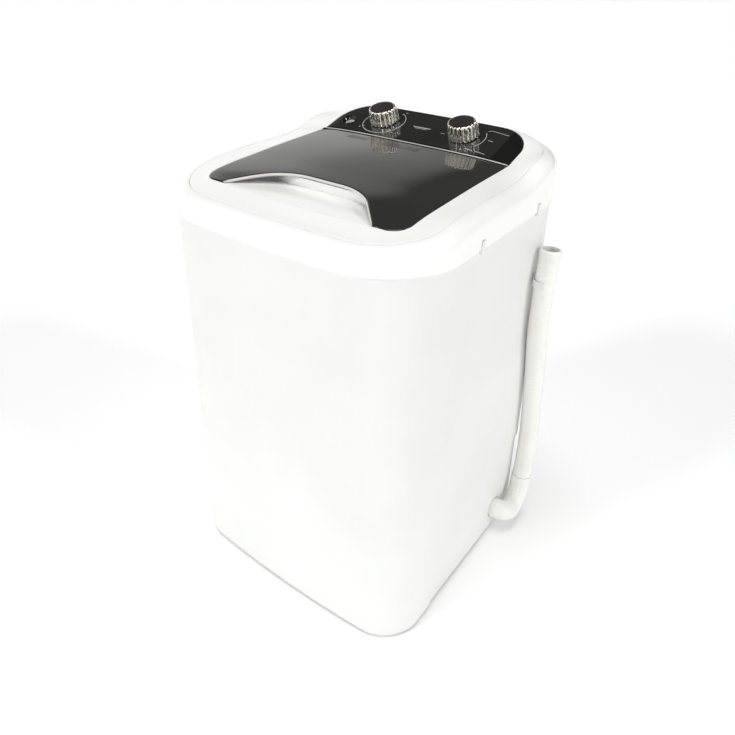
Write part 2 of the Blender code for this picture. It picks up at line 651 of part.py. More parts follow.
FOOT_SPOTS = {"front_left": (-128, -122), "front_right": (128, -122),
              "rear_left": (-128, 128), "rear_right": (128, 128)}
for spot, (x, y) in FOOT_SPOTS.items():
    finish(f"foot_{spot}",
           lathe([(0, 3 * MM), (6 * MM, 3 * MM), (6 * MM, 0), (15 * MM, 0), (16.5 * MM, 1.5 * MM),
                  (17.5 * MM, PAN_FLOOR - FIT), (0, PAN_FLOOR - FIT)], 20, closed=False),
           RUBBER, at=(x * MM, y * MM, 0))

FLANGE_Z = SHELL_TOP + FIT
TURNS = 48
outer_plan = plan(SHELL_HALF - FIT, COLLAR_FRONT + WALL + FIT, COLLAR_REAR - WALL - FIT,
                  TOP_RADIUS - WALL, TOP_RADIUS - WALL, FRONT_BOW)
angles = [math.atan2(y, x) for x, y in outer_plan]


def tub_ring(radius, z):
    return [(radius * math.cos(a), radius * math.sin(a), z) for a in angles]


outside = ((TUB_RADIUS + 6 * MM, FLANGE_Z), (TUB_RADIUS + TUB_WALL, FLANGE_Z - 6 * MM),
           (TUB_RADIUS - 8 * MM, TUB_FLOOR + 16 * MM), (TUB_RADIUS - 13 * MM, TUB_FLOOR + 2 * MM),
           (TUB_RADIUS - 22 * MM, TUB_FLOOR - TUB_WALL), (60 * MM, TUB_FLOOR - TUB_WALL),
           (14.2 * MM, TUB_FLOOR - TUB_WALL))
inside = ((14.2 * MM, TUB_FLOOR), (60 * MM, TUB_FLOOR), (TUB_RADIUS - 23 * MM, TUB_FLOOR),
          (TUB_RADIUS - 15.5 * MM, TUB_FLOOR + 4 * MM),
          (TUB_RADIUS - 10.5 * MM, TUB_FLOOR + 17 * MM), (TUB_RADIUS, FLANGE_Z - 5 * MM),
          (TUB_RADIUS + 6 * MM, FLANGE_Z + TUB_WALL))
rings = [[(x, y, FLANGE_Z) for x, y in outer_plan]]
rings += [tub_ring(r, z) for r, z in outside]
rings += [tub_ring(r, z) for r, z in inside]
rings.append([(x, y, FLANGE_Z + TUB_WALL) for x, y in outer_plan])
tub = finish("wash_tub", loft(rings, closed=True), TUB)

# Pulsator: a shallow dome with five curved vanes and a hub underneath.
VANES = 5


def pulsator_top(radius, angle):
    share = radius / PULSATOR_RADIUS
    dome = 14 * MM * (1 - share ** 2) ** 1.5
    phase = math.cos(VANES * (angle - 0.6 * share))
    vane = 13 * MM * max(phase, 0) ** 3 * math.sin(math.pi * min(share * 1.02, 1)) ** 0.6
    return 6 * MM + dome + vane


pulsator_axis = empty("pulsator_axis", (0, 0, TUB_FLOOR + 6 * MM))
rings = []
count = VANES * 10
for share in (0, 0.3, 0.6, 0.97):
    radius = max(share * (PULSATOR_RADIUS - 3 * MM), 15 * MM)
    rings.append([(radius * math.cos(a), radius * math.sin(a), 3 * MM if share < 0.9 else 0)
                  for a in (2 * math.pi * k / count for k in range(count))])
for share in (1.0, 0.92, 0.78, 0.62, 0.46, 0.3, 0.16):
    radius = share * PULSATOR_RADIUS
    rings.append([(radius * math.cos(a), radius * math.sin(a), pulsator_top(radius, a)
                   if share < 1 else 4 * MM)
                  for a in (2 * math.pi * k / count for k in range(count))])
pulsator = finish("pulsator", loft(rings), TEAL, 40, parent=pulsator_axis)
combine(pulsator, finish("cut_pulsator_bore", cylinder(DRIVE_SHAFT + FIT, -10 * MM, 16 * MM, 24),
                         TEAL, parent=pulsator_axis))
combine(pulsator, finish("cut_pulsator_screw", cylinder(9 * MM, 16.3 * MM, 40 * MM, 28), TEAL,
                         parent=pulsator_axis))
combine(pulsator, finish("cut_pulsator_shank", cylinder(2.6 * MM, 5 * MM, 30 * MM, 20), TEAL,
                         parent=pulsator_axis))
finish("pulsator_screw", lathe([(0, 12 * MM), (2.2 * MM, 12 * MM), (2.2 * MM, 16.6 * MM),
                                (7.5 * MM, 16.6 * MM), (7.5 * MM, 20 * MM), (6.5 * MM, 21 * MM),
                                (0, 21 * MM)], 28, closed=False), STEEL, parent=pulsator_axis)

# ---------------------------------------------------------------- drive
shaft = finish("pulsator_shaft", cylinder(DRIVE_SHAFT, 52 * MM - TUB_FLOOR - 6 * MM, 15.7 * MM,
                                          32), STEEL, parent=pulsator_axis)
combine(shaft, finish("cut_shaft_thread", cylinder(2.5 * MM, 11.5 * MM, 30 * MM, 20), STEEL,
                      parent=pulsator_axis))
HOUSING_LOW = 112 * MM
HOUSING_TOP = TUB_FLOOR + 2 * MM
finish("bearing_housing",
       lathe([(8 * MM, HOUSING_LOW), (14 * MM, HOUSING_LOW), (14 * MM, 172 * MM),
              (26 * MM, 186 * MM), (52 * MM, 189 * MM), (52 * MM, TUB_FLOOR - TUB_WALL - FIT),
              (13.7 * MM, TUB_FLOOR - TUB_WALL - FIT), (13.7 * MM, HOUSING_TOP),
              (8 * MM, HOUSING_TOP)], 28), ALLOY)
for name, low, high in (("lower", HOUSING_LOW + 2 * MM, HOUSING_LOW + 22 * MM),
                        ("upper", 172 * MM, 192 * MM)):
    finish(f"{name}_bushing",
           lathe([(DRIVE_SHAFT + 0.2 * MM, low), (8 * MM - 0.3 * MM, low),
                  (8 * MM - 0.3 * MM, high), (DRIVE_SHAFT + 0.2 * MM, high)], 20), BRONZE)
finish("shaft_seal",
       lathe([(DRIVE_SHAFT + FIT, HOUSING_TOP + FIT), (13 * MM, HOUSING_TOP + FIT),
              (11 * MM, HOUSING_TOP + 3.4 * MM), (DRIVE_SHAFT + FIT, HOUSING_TOP + 3 * MM)], 20),
       RUBBER)


def grooved(radius, hub, low, high):
    """Pulley section: a V groove in the rim and a thin web to the hub."""
    middle = 0
    half = 7 * MM
    return [(DRIVE_SHAFT + FIT if hub > 10 * MM else hub - 3 * MM, low),
            (hub, low), (hub, middle - 2 * MM), (radius - 10 * MM, middle - 2 * MM),
            (radius - 9 * MM, middle - half), (radius, middle - half), (radius - 5 * MM, -2.4 * MM),
            (radius - 5 * MM, 2.4 * MM), (radius, middle + half), (radius - 9 * MM, middle + half),
            (radius - 10 * MM, middle + 2 * MM), (hub, middle + 2 * MM), (hub, high),
            (DRIVE_SHAFT + FIT if hub > 10 * MM else hub - 3 * MM, high)]


pulley = finish("drive_pulley", lathe(grooved(PULLEY_RADIUS, 12 * MM, -10 * MM, 14 * MM), 40),
                ALLOY, at=(0, 0, PULLEY_Z - TUB_FLOOR - 6 * MM), parent=pulsator_axis)
for k in range(5):
    angle = 2 * math.pi * k / 5
    hole = finish(f"cut_web_{k}", cylinder(14 * MM, -8 * MM, 8 * MM, 16), ALLOY,
                  at=(37 * MM * math.cos(angle), 37 * MM * math.sin(angle),
                      PULLEY_Z - TUB_FLOOR - 6 * MM), parent=pulsator_axis)
    combine(pulley, hole)

motor_axis = empty("motor_axis", (MOTOR_X, MOTOR_Y, PULLEY_Z))
MOTOR_SHAFT = 4 * MM
finish("motor_pulley",
       lathe([(MOTOR_SHAFT + FIT, -9 * MM), (MOTOR_PULLEY_RADIUS, -7 * MM),
              (MOTOR_PULLEY_RADIUS - 5 * MM, -2.4 * MM), (MOTOR_PULLEY_RADIUS - 5 * MM, 2.4 * MM),
              (MOTOR_PULLEY_RADIUS, 7 * MM), (MOTOR_SHAFT + FIT, 9 * MM)], 24), STEEL,
       parent=motor_axis)
rotor_low = MOTOR_BASE + 12 * MM - PULLEY_Z
rotor_high = MOTOR_TOP - 14 * MM - PULLEY_Z
finish("motor_rotor",
       lathe([(0, -12 * MM), (MOTOR_SHAFT, -12 * MM), (MOTOR_SHAFT, rotor_low),
              (27 * MM, rotor_low), (27 * MM, rotor_high), (MOTOR_SHAFT, rotor_high),
              (MOTOR_SHAFT, rotor_high + 6 * MM), (0, rotor_high + 6 * MM)], 24, closed=False),
       STEEL, parent=motor_axis)
finish("motor_body",
       lathe([(MOTOR_SHAFT + 2.5 * MM, MOTOR_BASE), (MOTOR_RADIUS - 6 * MM, MOTOR_BASE),
              (MOTOR_RADIUS - 4 * MM, MOTOR_BASE + 8 * MM), (MOTOR_RADIUS, MOTOR_BASE + 14 * MM),
              (MOTOR_RADIUS, MOTOR_TOP - 16 * MM), (MOTOR_RADIUS - 5 * MM, MOTOR_TOP - 10 * MM),
              (MOTOR_RADIUS - 9 * MM, MOTOR_TOP), (0, MOTOR_TOP), (0, MOTOR_TOP - 6 * MM),
              (MOTOR_RADIUS - 22 * MM, MOTOR_TOP - 6 * MM),
              (MOTOR_RADIUS - 22 * MM, MOTOR_BASE + 6 * MM),
              (MOTOR_SHAFT + 2.5 * MM, MOTOR_BASE + 6 * MM)], 28), CAN,
       at=(MOTOR_X, MOTOR_Y, 0))

# Motor bracket on three posts of the base pan, each with a rubber grommet and a screw.
outward = math.atan2(MOTOR_Y, MOTOR_X)
POST_REACH = 62 * MM
post_spots = []
for turn_by in (0, 115, -115):
    a = outward + math.radians(turn_by)
    post_spots.append((MOTOR_X + POST_REACH * math.cos(a), MOTOR_Y + POST_REACH * math.sin(a)))
bracket_low = POST_TOP + 11.4 * MM
bracket = finish("motor_bracket", cylinder(40 * MM, bracket_low, bracket_low + BRACKET_THICK, 40),
                 STEEL, at=(MOTOR_X, MOTOR_Y, 0))
for i, (x, y) in enumerate(post_spots):
    ear = block((18 * MM, -9 * MM, bracket_low), (POST_REACH + 9 * MM, 9 * MM,
                                                  bracket_low + BRACKET_THICK))
    angle = outward + math.radians((0, 115, -115)[i])
    combine(bracket, finish(f"add_ear_{i}", ear, STEEL, at=(MOTOR_X, MOTOR_Y, 0),
                            turn=(0, 0, angle)), "UNION")
for i, (x, y) in enumerate(post_spots):
    post = finish(f"add_post_{i}", cylinder(7 * MM, PAN_FLOOR + 1 * MM, POST_TOP, 24), WHITE,
                  at=(x, y, 0))
    combine(pan, post, "UNION")
for i, (x, y) in enumerate(post_spots):
    combine(pan, finish(f"cut_post_{i}", cylinder(2.2 * MM, POST_TOP - 16 * MM, POST_TOP + 5 * MM,
                                                  16), WHITE, at=(x, y, 0)))
    combine(bracket, finish(f"cut_ear_{i}", cylinder(3 * MM, 60 * MM, 100 * MM, 16), STEEL,
                            at=(x, y, 0)))
    finish(f"motor_grommet_{i + 1}",
           lathe([(2.6 * MM, POST_TOP + FIT), (8 * MM, POST_TOP + FIT),
                  (6.5 * MM, POST_TOP + 5.7 * MM), (8 * MM, bracket_low - FIT),
                  (2.6 * MM, bracket_low - FIT)], 16), RUBBER, at=(x, y, 0))
    head = bracket_low + BRACKET_THICK + FIT
    finish(f"motor_screw_{i + 1}",
           lathe([(0, POST_TOP - 13 * MM), (1.8 * MM, POST_TOP - 13 * MM), (1.8 * MM, head),
                  (5 * MM, head), (5 * MM, head + 2 * MM), (3.4 * MM, head + 3.4 * MM),
                  (0, head + 3.4 * MM)], 14, closed=False), STEEL, at=(x, y, 0))
combine(bracket, finish("cut_bracket_bore", cylinder(16 * MM, 60 * MM, 100 * MM, 32), STEEL,
                        at=(MOTOR_X, MOTOR_Y, 0)))

# V-belt round both pulleys, clear of the grooves by a small gap.
def belt_line(offset):
    """Belt path round the two pulleys as (x, y) points; offset moves it out from the grooves."""
    big = PULLEY_RADIUS - 4.4 * MM + offset
    small = MOTOR_PULLEY_RADIUS - 4.4 * MM + offset
    apart = math.hypot(MOTOR_X, MOTOR_Y)
    lean = math.acos((big - small) / apart)
    toward = math.atan2(MOTOR_Y, MOTOR_X)
    points = []
    for i in range(29):
        a = toward + lean + (2 * math.pi - 2 * lean) * i / 28
        points.append((big * math.cos(a), big * math.sin(a)))
    for i in range(11):
        a = toward - lean + 2 * lean * i / 10
        points.append((MOTOR_X + small * math.cos(a), MOTOR_Y + small * math.sin(a)))
    return points


rings = []
for offset, z in ((0, -2.2 * MM), (0, 2.2 * MM), (5 * MM, 4.1 * MM), (5 * MM, -4.1 * MM)):
    rings.append([(x, y, PULLEY_Z + z) for x, y in belt_line(offset)])
finish("drive_belt", loft(rings, closed=True), RUBBER)

capacitor = finish("run_capacitor",
                   lathe([(0, PAN_FLOOR + 2.8 * MM), (18 * MM, PAN_FLOOR + 2.8 * MM),
                          (18 * MM, 62 * MM), (16.5 * MM, 64 * MM), (6 * MM, 64 * MM),
                          (5 * MM, 70 * MM), (0, 70 * MM)], 24, closed=False), ALLOY,
                   at=(104 * MM, -104 * MM, 0))

# ---------------------------------------------------------------- lint filter
guide = finish("filter_guide", block((-40 * MM, 124 * MM, 330 * MM), (40 * MM, 136.5 * MM,
                                                                      450 * MM), 1 * MM), TUB)
combine(guide, finish("cut_guide_groove", block((-35.3 * MM, 126.6 * MM, 336 * MM),
                                                (35.3 * MM, 132.5 * MM, 470 * MM)), TUB))
combine(guide, finish("cut_guide_window", block((-29 * MM, 110 * MM, 342 * MM),
                                                (29 * MM, 150 * MM, 470 * MM)), TUB))
lint = finish("lint_filter", block((-34.8 * MM, 127 * MM, 336.4 * MM), (34.8 * MM, 132.1 * MM,
                                                                       447 * MM), 0.6 * MM), MESH)
combine(lint, finish("cut_filter_front", block((-27 * MM, 120 * MM, 345 * MM),
                                               (27 * MM, 129 * MM, 432 * MM)), MESH))
combine(lint, finish("cut_filter_back", block((-27 * MM, 130.2 * MM, 345 * MM),
                                              (27 * MM, 140 * MM, 432 * MM)), MESH))

# ---------------------------------------------------------------- drain
sump = finish("cut_sump", cylinder(11 * MM, 150 * MM, 230 * MM, 24), TUB,
              at=(DRAIN_X, DRAIN_Y, 0))
combine(tub, sump)
grille = finish("drain_grille", cylinder(15 * MM, TUB_FLOOR + FIT, TUB_FLOOR + 2.3 * MM, 28), TUB,
                at=(DRAIN_X, DRAIN_Y, 0))
for k in (-1, 0, 1):
    bar = block((-8 * MM, (k * 5.5 - 1.4) * MM, 190 * MM), (8 * MM, (k * 5.5 + 1.4) * MM,
                                                            210 * MM))
    combine(grille, finish(f"cut_grille_{k + 1}", bar, TUB, at=(DRAIN_X, DRAIN_Y, 0)))
under = TUB_FLOOR - TUB_WALL - FIT
finish("drain_outlet",
       lathe([(9 * MM, 166 * MM), (10.6 * MM, 166 * MM), (11 * MM, 168 * MM), (11 * MM, under - 4 * MM),
              (20 * MM, under - 3 * MM), (20 * MM, under), (9 * MM, under)], 28), TUB,
       at=(DRAIN_X, DRAIN_Y, 0))
PIPE_OUT = 14 * MM
PIPE_IN = 11.3 * MM
exit_y, exit_z = 84 * MM, 39 * MM
inner_route = smooth_route([(DRAIN_X, DRAIN_Y, 164 * MM), (DRAIN_X, DRAIN_Y, 145 * MM),
                            (DRAIN_X + 4 * MM, DRAIN_Y + 1 * MM, 110 * MM),
                            (DRAIN_X + 20 * MM, DRAIN_Y + 3 * MM, 68 * MM),
                            (DRAIN_X + 46 * MM, exit_y, 42 * MM), (147 * MM, exit_y, exit_z)], 11)
inner_route = [Vector((DRAIN_X, DRAIN_Y, 188 * MM)), *inner_route,
               Vector((157 * MM, exit_y, exit_z))]
finish("drain_pipe", pipe(inner_route, PIPE_OUT, PIPE_IN, 16), RUBBER)
finish("drain_clamp",
       lathe([(PIPE_OUT + FIT, 173 * MM), (PIPE_OUT + 1.8 * MM, 173 * MM),
              (PIPE_OUT + 1.8 * MM, 182 * MM), (PIPE_OUT + FIT, 182 * MM)], 24), STEEL,
       at=(DRAIN_X, DRAIN_Y, 0))
elbow_route = smooth_route([(170 * MM, exit_y, exit_z), (180 * MM, exit_y + 0.5 * MM, 38.5 * MM),
                            (188 * MM, 89.5 * MM, 35 * MM), (191.6 * MM, 99 * MM, 31.5 * MM),
                            (191.8 * MM, 112 * MM, 31 * MM), (191.6 * MM, 124 * MM, 40 * MM),
                            (191.5 * MM, 132 * MM, 56 * MM), (191.6 * MM, 135 * MM, 74 * MM)], 13)
elbow_route.insert(0, Vector((157.5 * MM, exit_y, exit_z)))
finish("drain_elbow", pipe(elbow_route, PIPE_OUT, PIPE_IN - 0.8 * MM), HOSE)
combine(cabinet, finish("cut_drain_port", cylinder(PIPE_OUT + 1.2 * MM, -12 * MM, 15 * MM, 28),
                        WHITE, at=(174 * MM, exit_y, exit_z), turn=(0, math.pi / 2, 0)))

# The hose stands up the right rear corner from the elbow; its end is held by a clip.
hose_lead = (elbow_route[-1] - elbow_route[-2]).normalized()
hose_route = smooth_route([elbow_route[-1] + hose_lead * 14 * MM, (192.1 * MM, 138 * MM, 125 * MM),
                           (192.3 * MM, 136.5 * MM, 165 * MM), (193 * MM, 123 * MM, 262 * MM),
                           (195 * MM, 107 * MM, 335 * MM), (197.2 * MM, 102.5 * MM, 412 * MM),
                           (197.4 * MM, 105.5 * MM, 440 * MM)], 13)
hose_route.insert(0, elbow_route[-1] + hose_lead * 0.5 * MM)
curve = bpy.data.curves.new("drain_hose", "CURVE")
curve.dimensions = "3D"
curve.bevel_depth = HOSE_RADIUS
curve.bevel_resolution = 4
curve.use_fill_caps = True
line = curve.splines.new("POLY")
line.points.add(len(hose_route) - 1)
for point, place in zip(line.points, hose_route):
    point.co = (*place, 1)
curve.materials.append(HOSE)
hose = bpy.data.objects.new("drain_hose", curve)
bpy.context.scene.collection.objects.link(hose)
cuff_lean = Vector((0, 0, 1)).rotation_difference(hose_route[-1] - hose_route[-2]).to_euler()
finish("hose_end_cuff",
       lathe([(10 * MM, FIT), (HOSE_RADIUS + 0.6 * MM, FIT), (HOSE_RADIUS + 0.6 * MM, 8 * MM),
              (HOSE_RADIUS - 0.4 * MM, 10 * MM), (10 * MM, 10 * MM)], 28), HOSE,
       at=hose_route[-1], turn=cuff_lean)
CLIP_Z = 402 * MM
clip_spot = (197.2 * MM, 102.7 * MM)
clip = finish("hose_clip",
              lathe([(HOSE_RADIUS + 0.5 * MM, CLIP_Z), (HOSE_RADIUS + 2.2 * MM, CLIP_Z),
                     (HOSE_RADIUS + 2.2 * MM, CLIP_Z + 9 * MM),
                     (HOSE_RADIUS + 0.5 * MM, CLIP_Z + 9 * MM)], 40), WHITE,
              at=(*clip_spot, 0))
combine(clip, finish("cut_clip", block((4 * MM, -30 * MM, CLIP_Z - 20 * MM),
                                       (40 * MM, 30 * MM, CLIP_Z + 40 * MM)), WHITE,
                     at=(*clip_spot, 0)))

# ---------------------------------------------------------------- mains inlet bush at the rear
gland_z = 70 * MM
gland_x = -105 * MM
gland_share = (gland_z - FOOT_HEIGHT) / (COLLAR_Z - FOOT_HEIGHT)
gland_y = BASE_REAR + (COLLAR_REAR - WALL - BASE_REAR) * gland_share - STEP_IN + 0.04 * MM
gland = finish("cord_gland",
               lathe([(3.7 * MM, -6 * MM), (6.2 * MM, -6 * MM), (6.2 * MM, 0.4 * MM),
                      (10 * MM, 0.4 * MM), (10 * MM, 3 * MM), (6.5 * MM, 9 * MM),
                      (3.7 * MM, 9 * MM)], 28), RUBBER,
               at=(gland_x, gland_y, gland_z), turn=(-math.pi / 2, 0, 0))
combine(cabinet, finish("cut_gland", cylinder(6.5 * MM, -20 * MM, 20 * MM, 24), WHITE,
                        at=(gland_x, gland_y, gland_z), turn=(-math.pi / 2, 0, 0)))
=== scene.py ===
# %% [markdown]
# # A portable top-load washing machine, dressed in Blender
#
# The machine's frame comes from CAD: one solid for every piece, already in its place. This lesson
# puts the looks around it. The big moulded skins are worked out again as fine numpy surfaces, the
# small parts keep their CAD shape, and each gets a material built from nodes.

# %% Load the frame
import json
import math

import bmesh
import bpy
import numpy as np
from mathutils import Matrix, Vector

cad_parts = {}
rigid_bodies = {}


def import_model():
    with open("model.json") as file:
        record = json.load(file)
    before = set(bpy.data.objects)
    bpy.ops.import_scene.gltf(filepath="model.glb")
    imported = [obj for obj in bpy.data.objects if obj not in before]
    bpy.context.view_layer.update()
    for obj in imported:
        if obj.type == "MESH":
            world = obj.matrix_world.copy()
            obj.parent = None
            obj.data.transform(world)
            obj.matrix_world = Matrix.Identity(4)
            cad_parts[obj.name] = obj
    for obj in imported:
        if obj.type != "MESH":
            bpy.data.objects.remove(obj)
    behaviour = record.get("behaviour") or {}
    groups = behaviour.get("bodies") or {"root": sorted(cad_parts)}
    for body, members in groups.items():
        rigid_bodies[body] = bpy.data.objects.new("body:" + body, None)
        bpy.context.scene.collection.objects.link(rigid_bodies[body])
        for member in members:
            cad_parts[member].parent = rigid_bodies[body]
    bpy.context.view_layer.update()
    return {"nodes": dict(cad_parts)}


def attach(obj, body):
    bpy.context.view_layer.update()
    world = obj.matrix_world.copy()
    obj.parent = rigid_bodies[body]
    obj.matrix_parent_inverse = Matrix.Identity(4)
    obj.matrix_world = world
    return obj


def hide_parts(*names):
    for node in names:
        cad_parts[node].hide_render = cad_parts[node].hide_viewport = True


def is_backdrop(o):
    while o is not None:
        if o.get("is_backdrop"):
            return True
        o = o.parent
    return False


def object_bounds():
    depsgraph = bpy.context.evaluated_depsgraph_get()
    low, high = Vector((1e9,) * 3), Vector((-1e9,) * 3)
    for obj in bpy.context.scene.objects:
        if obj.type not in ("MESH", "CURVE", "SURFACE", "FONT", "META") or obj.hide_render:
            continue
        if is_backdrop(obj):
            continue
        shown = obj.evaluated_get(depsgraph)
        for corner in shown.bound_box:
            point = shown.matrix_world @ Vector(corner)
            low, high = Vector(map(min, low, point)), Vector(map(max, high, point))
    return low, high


for old in list(bpy.data.objects):
    bpy.data.objects.remove(old, do_unlink=True)
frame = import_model()
MM = 0.001

# %% [markdown]
# ## Camera
#
# The machine is seen from above its front right corner with a short lens. The viewing angles are
# turned into a position, and a small roll and an upward shift of the frame finish the framing. A
# tracking constraint could aim the camera too, but plain numbers keep the roll exact.

# %% Camera
AIM = Vector((-0.0017, 0.0053, 0.3905))
TURN, TILT, ROLL = math.radians(36.27), math.radians(26.57), math.radians(0.89)
REACH, LENS, SENSOR, SHIFT = 0.8787, 33.45, 36.0, -0.123
back = Vector((math.sin(TURN) * math.cos(TILT), -math.cos(TURN) * math.cos(TILT),
               math.sin(TILT)))
level = Vector((math.cos(TURN), math.sin(TURN), 0))
up = back.cross(level)
right = level * math.cos(ROLL) + up * math.sin(ROLL)
true_up = up * math.cos(ROLL) - level * math.sin(ROLL)
camera_data = bpy.data.cameras.new("camera")
camera_data.lens, camera_data.sensor_width = LENS, SENSOR
camera_data.shift_y = SHIFT
camera_data.clip_end = 100
camera = bpy.data.objects.new("camera", camera_data)
bpy.context.scene.collection.objects.link(camera)
camera.rotation_mode = "QUATERNION"
camera.rotation_quaternion = Matrix((right, true_up, back)).transposed().to_quaternion()
camera.location = AIM + back * REACH
bpy.context.scene.camera = camera
print("camera at", [round(v, 3) for v in camera.location])

# %% [markdown]
# ## Putting numpy arrays into meshes
#
# A moulded skin is a grid of points: one direction runs round it, the other across it. The grid is
# joined into four-sided faces in one go, with no loop over the points. Smooth shading is then
# limited by an angle, so rims stay crisp and broad faces stay soft.


# %% Mesh helpers
def mesh_object(name, points, faces, skin, sharp=32):
    """An object at the origin from points and faces, shaded smooth up to an angle in degrees."""
    mesh = bpy.data.meshes.new(name)
    mesh.from_pydata(np.asarray(points, float).reshape(-1, 3).tolist(), [],
                     faces if isinstance(faces, list) else faces.tolist())
    mesh.validate()
    mesh.polygons.foreach_set("use_smooth", np.ones(len(mesh.polygons), bool))
    mesh.set_sharp_from_angle(angle=math.radians(sharp))
    mesh.materials.append(skin)
    made = bpy.data.objects.new(name, mesh)
    bpy.context.scene.collection.objects.link(made)
    return made


def grid_faces(rows, columns, wrap_rows=False, wrap_columns=False, start=0):
    """Corner numbers of every cell of a grid, each cell's corners taken in turn round it."""
    r = np.arange(rows if wrap_rows else rows - 1)
    c = np.arange(columns if wrap_columns else columns - 1)
    r, c = np.meshgrid(r, c, indexing="ij")
    r2, c2 = (r + 1) % rows, (c + 1) % columns
    return start + np.stack([r * columns + c, r * columns + c2, r2 * columns + c2,
                             r2 * columns + c], -1).reshape(-1, 4)


def full_turn(count):
    """Even angles once round a circle, the last one short of the first."""
    return np.linspace(0, 2 * math.pi, count, endpoint=False)


def outward(made):
    """Turns a closed mesh's faces outwards, its doubles merged first."""
    bm = bmesh.new()
    bm.from_mesh(made.data)
    bmesh.ops.remove_doubles(bm, verts=bm.verts, dist=2e-6)
    bmesh.ops.dissolve_degenerate(bm, edges=bm.edges, dist=1e-7)
    bmesh.ops.recalc_face_normals(bm, faces=bm.faces)
    if bm.calc_volume(signed=True) < 0:
        bmesh.ops.reverse_faces(bm, faces=bm.faces)
    bm.to_mesh(made.data)
    bm.free()
    return made


def ring_skin(name, rings, skin, sharp=32):
    """A closed skin: rings of points joined each to the next, and the last to the first."""
    rings = np.asarray(rings, float)
    faces = grid_faces(rings.shape[0], rings.shape[1], True, True)
    made = outward(mesh_object(name, rings, faces, skin, sharp))
    made.data.set_sharp_from_angle(angle=math.radians(sharp))
    return made


def capped_skin(name, rings, skin, sharp=32):
    """A closed tube: rings of points joined each to the next, with a flat face over each end."""
    rings = np.asarray(rings, float)
    count, sides = rings.shape[:2]
    faces = grid_faces(count, sides, wrap_columns=True).tolist()
    faces += [list(range(sides))[::-1], list(range(sides * (count - 1), sides * count))]
    return outward(mesh_object(name, rings, faces, skin, sharp))


def cut(made, cutters, sharp=32):
    """Cuts helper solids out of a skin and bakes the result into its mesh."""
    for cutter in cutters:
        step = made.modifiers.new("cut", "BOOLEAN")
        step.operation, step.solver, step.object = "DIFFERENCE", "EXACT", cutter
    bpy.context.view_layer.update()
    graph = bpy.context.evaluated_depsgraph_get()
    baked = bpy.data.meshes.new_from_object(made.evaluated_get(graph))
    made.modifiers.clear()
    made.data = baked
    for cutter in cutters:
        bpy.data.objects.remove(cutter, do_unlink=True)
    made.data.set_sharp_from_angle(angle=math.radians(sharp))
    return made


def place(made, matrix):
    """Moves a mesh's own points, so its object stays at the origin."""
    made.data.transform(matrix)
    return made


def spot(x, y, z, axis):
    """Matrix of a place with its Z turned a quarter round the X or Y axis."""
    return Matrix.Translation((x, y, z)) @ Matrix.Rotation(math.pi / 2, 4, axis)


def on_body(made, body, slot, *stands_for):
    """Rides on a CAD body and hides the CAD nodes it stands for; slot is not used."""
    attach(made, body)
    if stands_for:
        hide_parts(*stands_for)
    print(made.name, len(made.data.polygons), "faces")
    return made


# %% [markdown]
# ## Node materials
#
# Every finish starts from what the real part is made of. One small function adds a node with its
# settings and links, and colours are typed as the usual six-digit sRGB values, which are turned
# to the linear values that the shader needs.


# %% Material helpers
def hex_linear(code):
    """An sRGB hex colour as linear red, green, blue and 1."""
    parts = np.array([int(code[i:i + 2], 16) for i in (0, 2, 4)]) / 255
    linear = np.where(parts > 0.04045, ((parts + 0.055) / 1.055) ** 2.4, parts / 12.92)
    return (*linear.tolist(), 1)


def add(tree, kind, settings=None, links=None, **values):
    """Adds a node: settings are its properties, values its sockets by name, links its inputs."""
    node = tree.nodes.new(kind)
    for key, value in (settings or {}).items():
        setattr(node, key, value)
    for key, value in values.items():
        node.inputs[key.replace("_", " ")].default_value = value
    for key, source in (links or {}).items():
        tree.links.new(source, node.inputs[key])
    return node


def start(name, colour, rough, metal=0.0, ior=1.5, **more):
    """A new material with its shader set, and its Object coordinates ready to use."""
    made = bpy.data.materials.new(name)
    made.use_nodes = True
    tree = made.node_tree
    shader = tree.nodes["Principled BSDF"]
    shader.inputs["Base Color"].default_value = hex_linear(colour)
    shader.inputs["Roughness"].default_value = rough
    shader.inputs["Metallic"].default_value = metal
    shader.inputs["IOR"].default_value = ior
    for key, value in more.items():
        shader.inputs[key.replace("_", " ")].default_value = value
    where = add(tree, "ShaderNodeTexCoord").outputs["Object"]
    return made, tree, shader, where


def noise(tree, where, scale, detail):
    """A noise texture's value, read in Object coordinates."""
    return add(tree, "ShaderNodeTexNoise", links={"Vector": where}, Scale=scale,
               Detail=detail).outputs["Fac"]


def tint(tree, shader, source, dark, light, low=0.35, high=0.65):
    """Runs a pattern through a ramp between two colours, into the base colour."""
    ramp = add(tree, "ShaderNodeValToRGB", links={"Fac": source})
    for stop, position, code in zip(ramp.color_ramp.elements, (low, high), (dark, light)):
        stop.position, stop.color = position, hex_linear(code)
    tree.links.new(ramp.outputs["Color"], shader.inputs["Base Color"])


def bump(tree, shader, source, depth_mm):
    """Raises the surface by a pattern, its depth in millimetres."""
    node = add(tree, "ShaderNodeBump", links={"Height": source}, Distance=depth_mm * MM,
               Strength=1.0)
    tree.links.new(node.outputs["Normal"], shader.inputs["Normal"])


def rough_by(tree, shader, source, low, high):
    """Lets a pattern move the roughness between two values."""
    spread = add(tree, "ShaderNodeMapRange", links={"Value": source}, To_Min=low, To_Max=high,
                 From_Min=0.3, From_Max=0.7)
    tree.links.new(spread.outputs["Result"], shader.inputs["Roughness"])


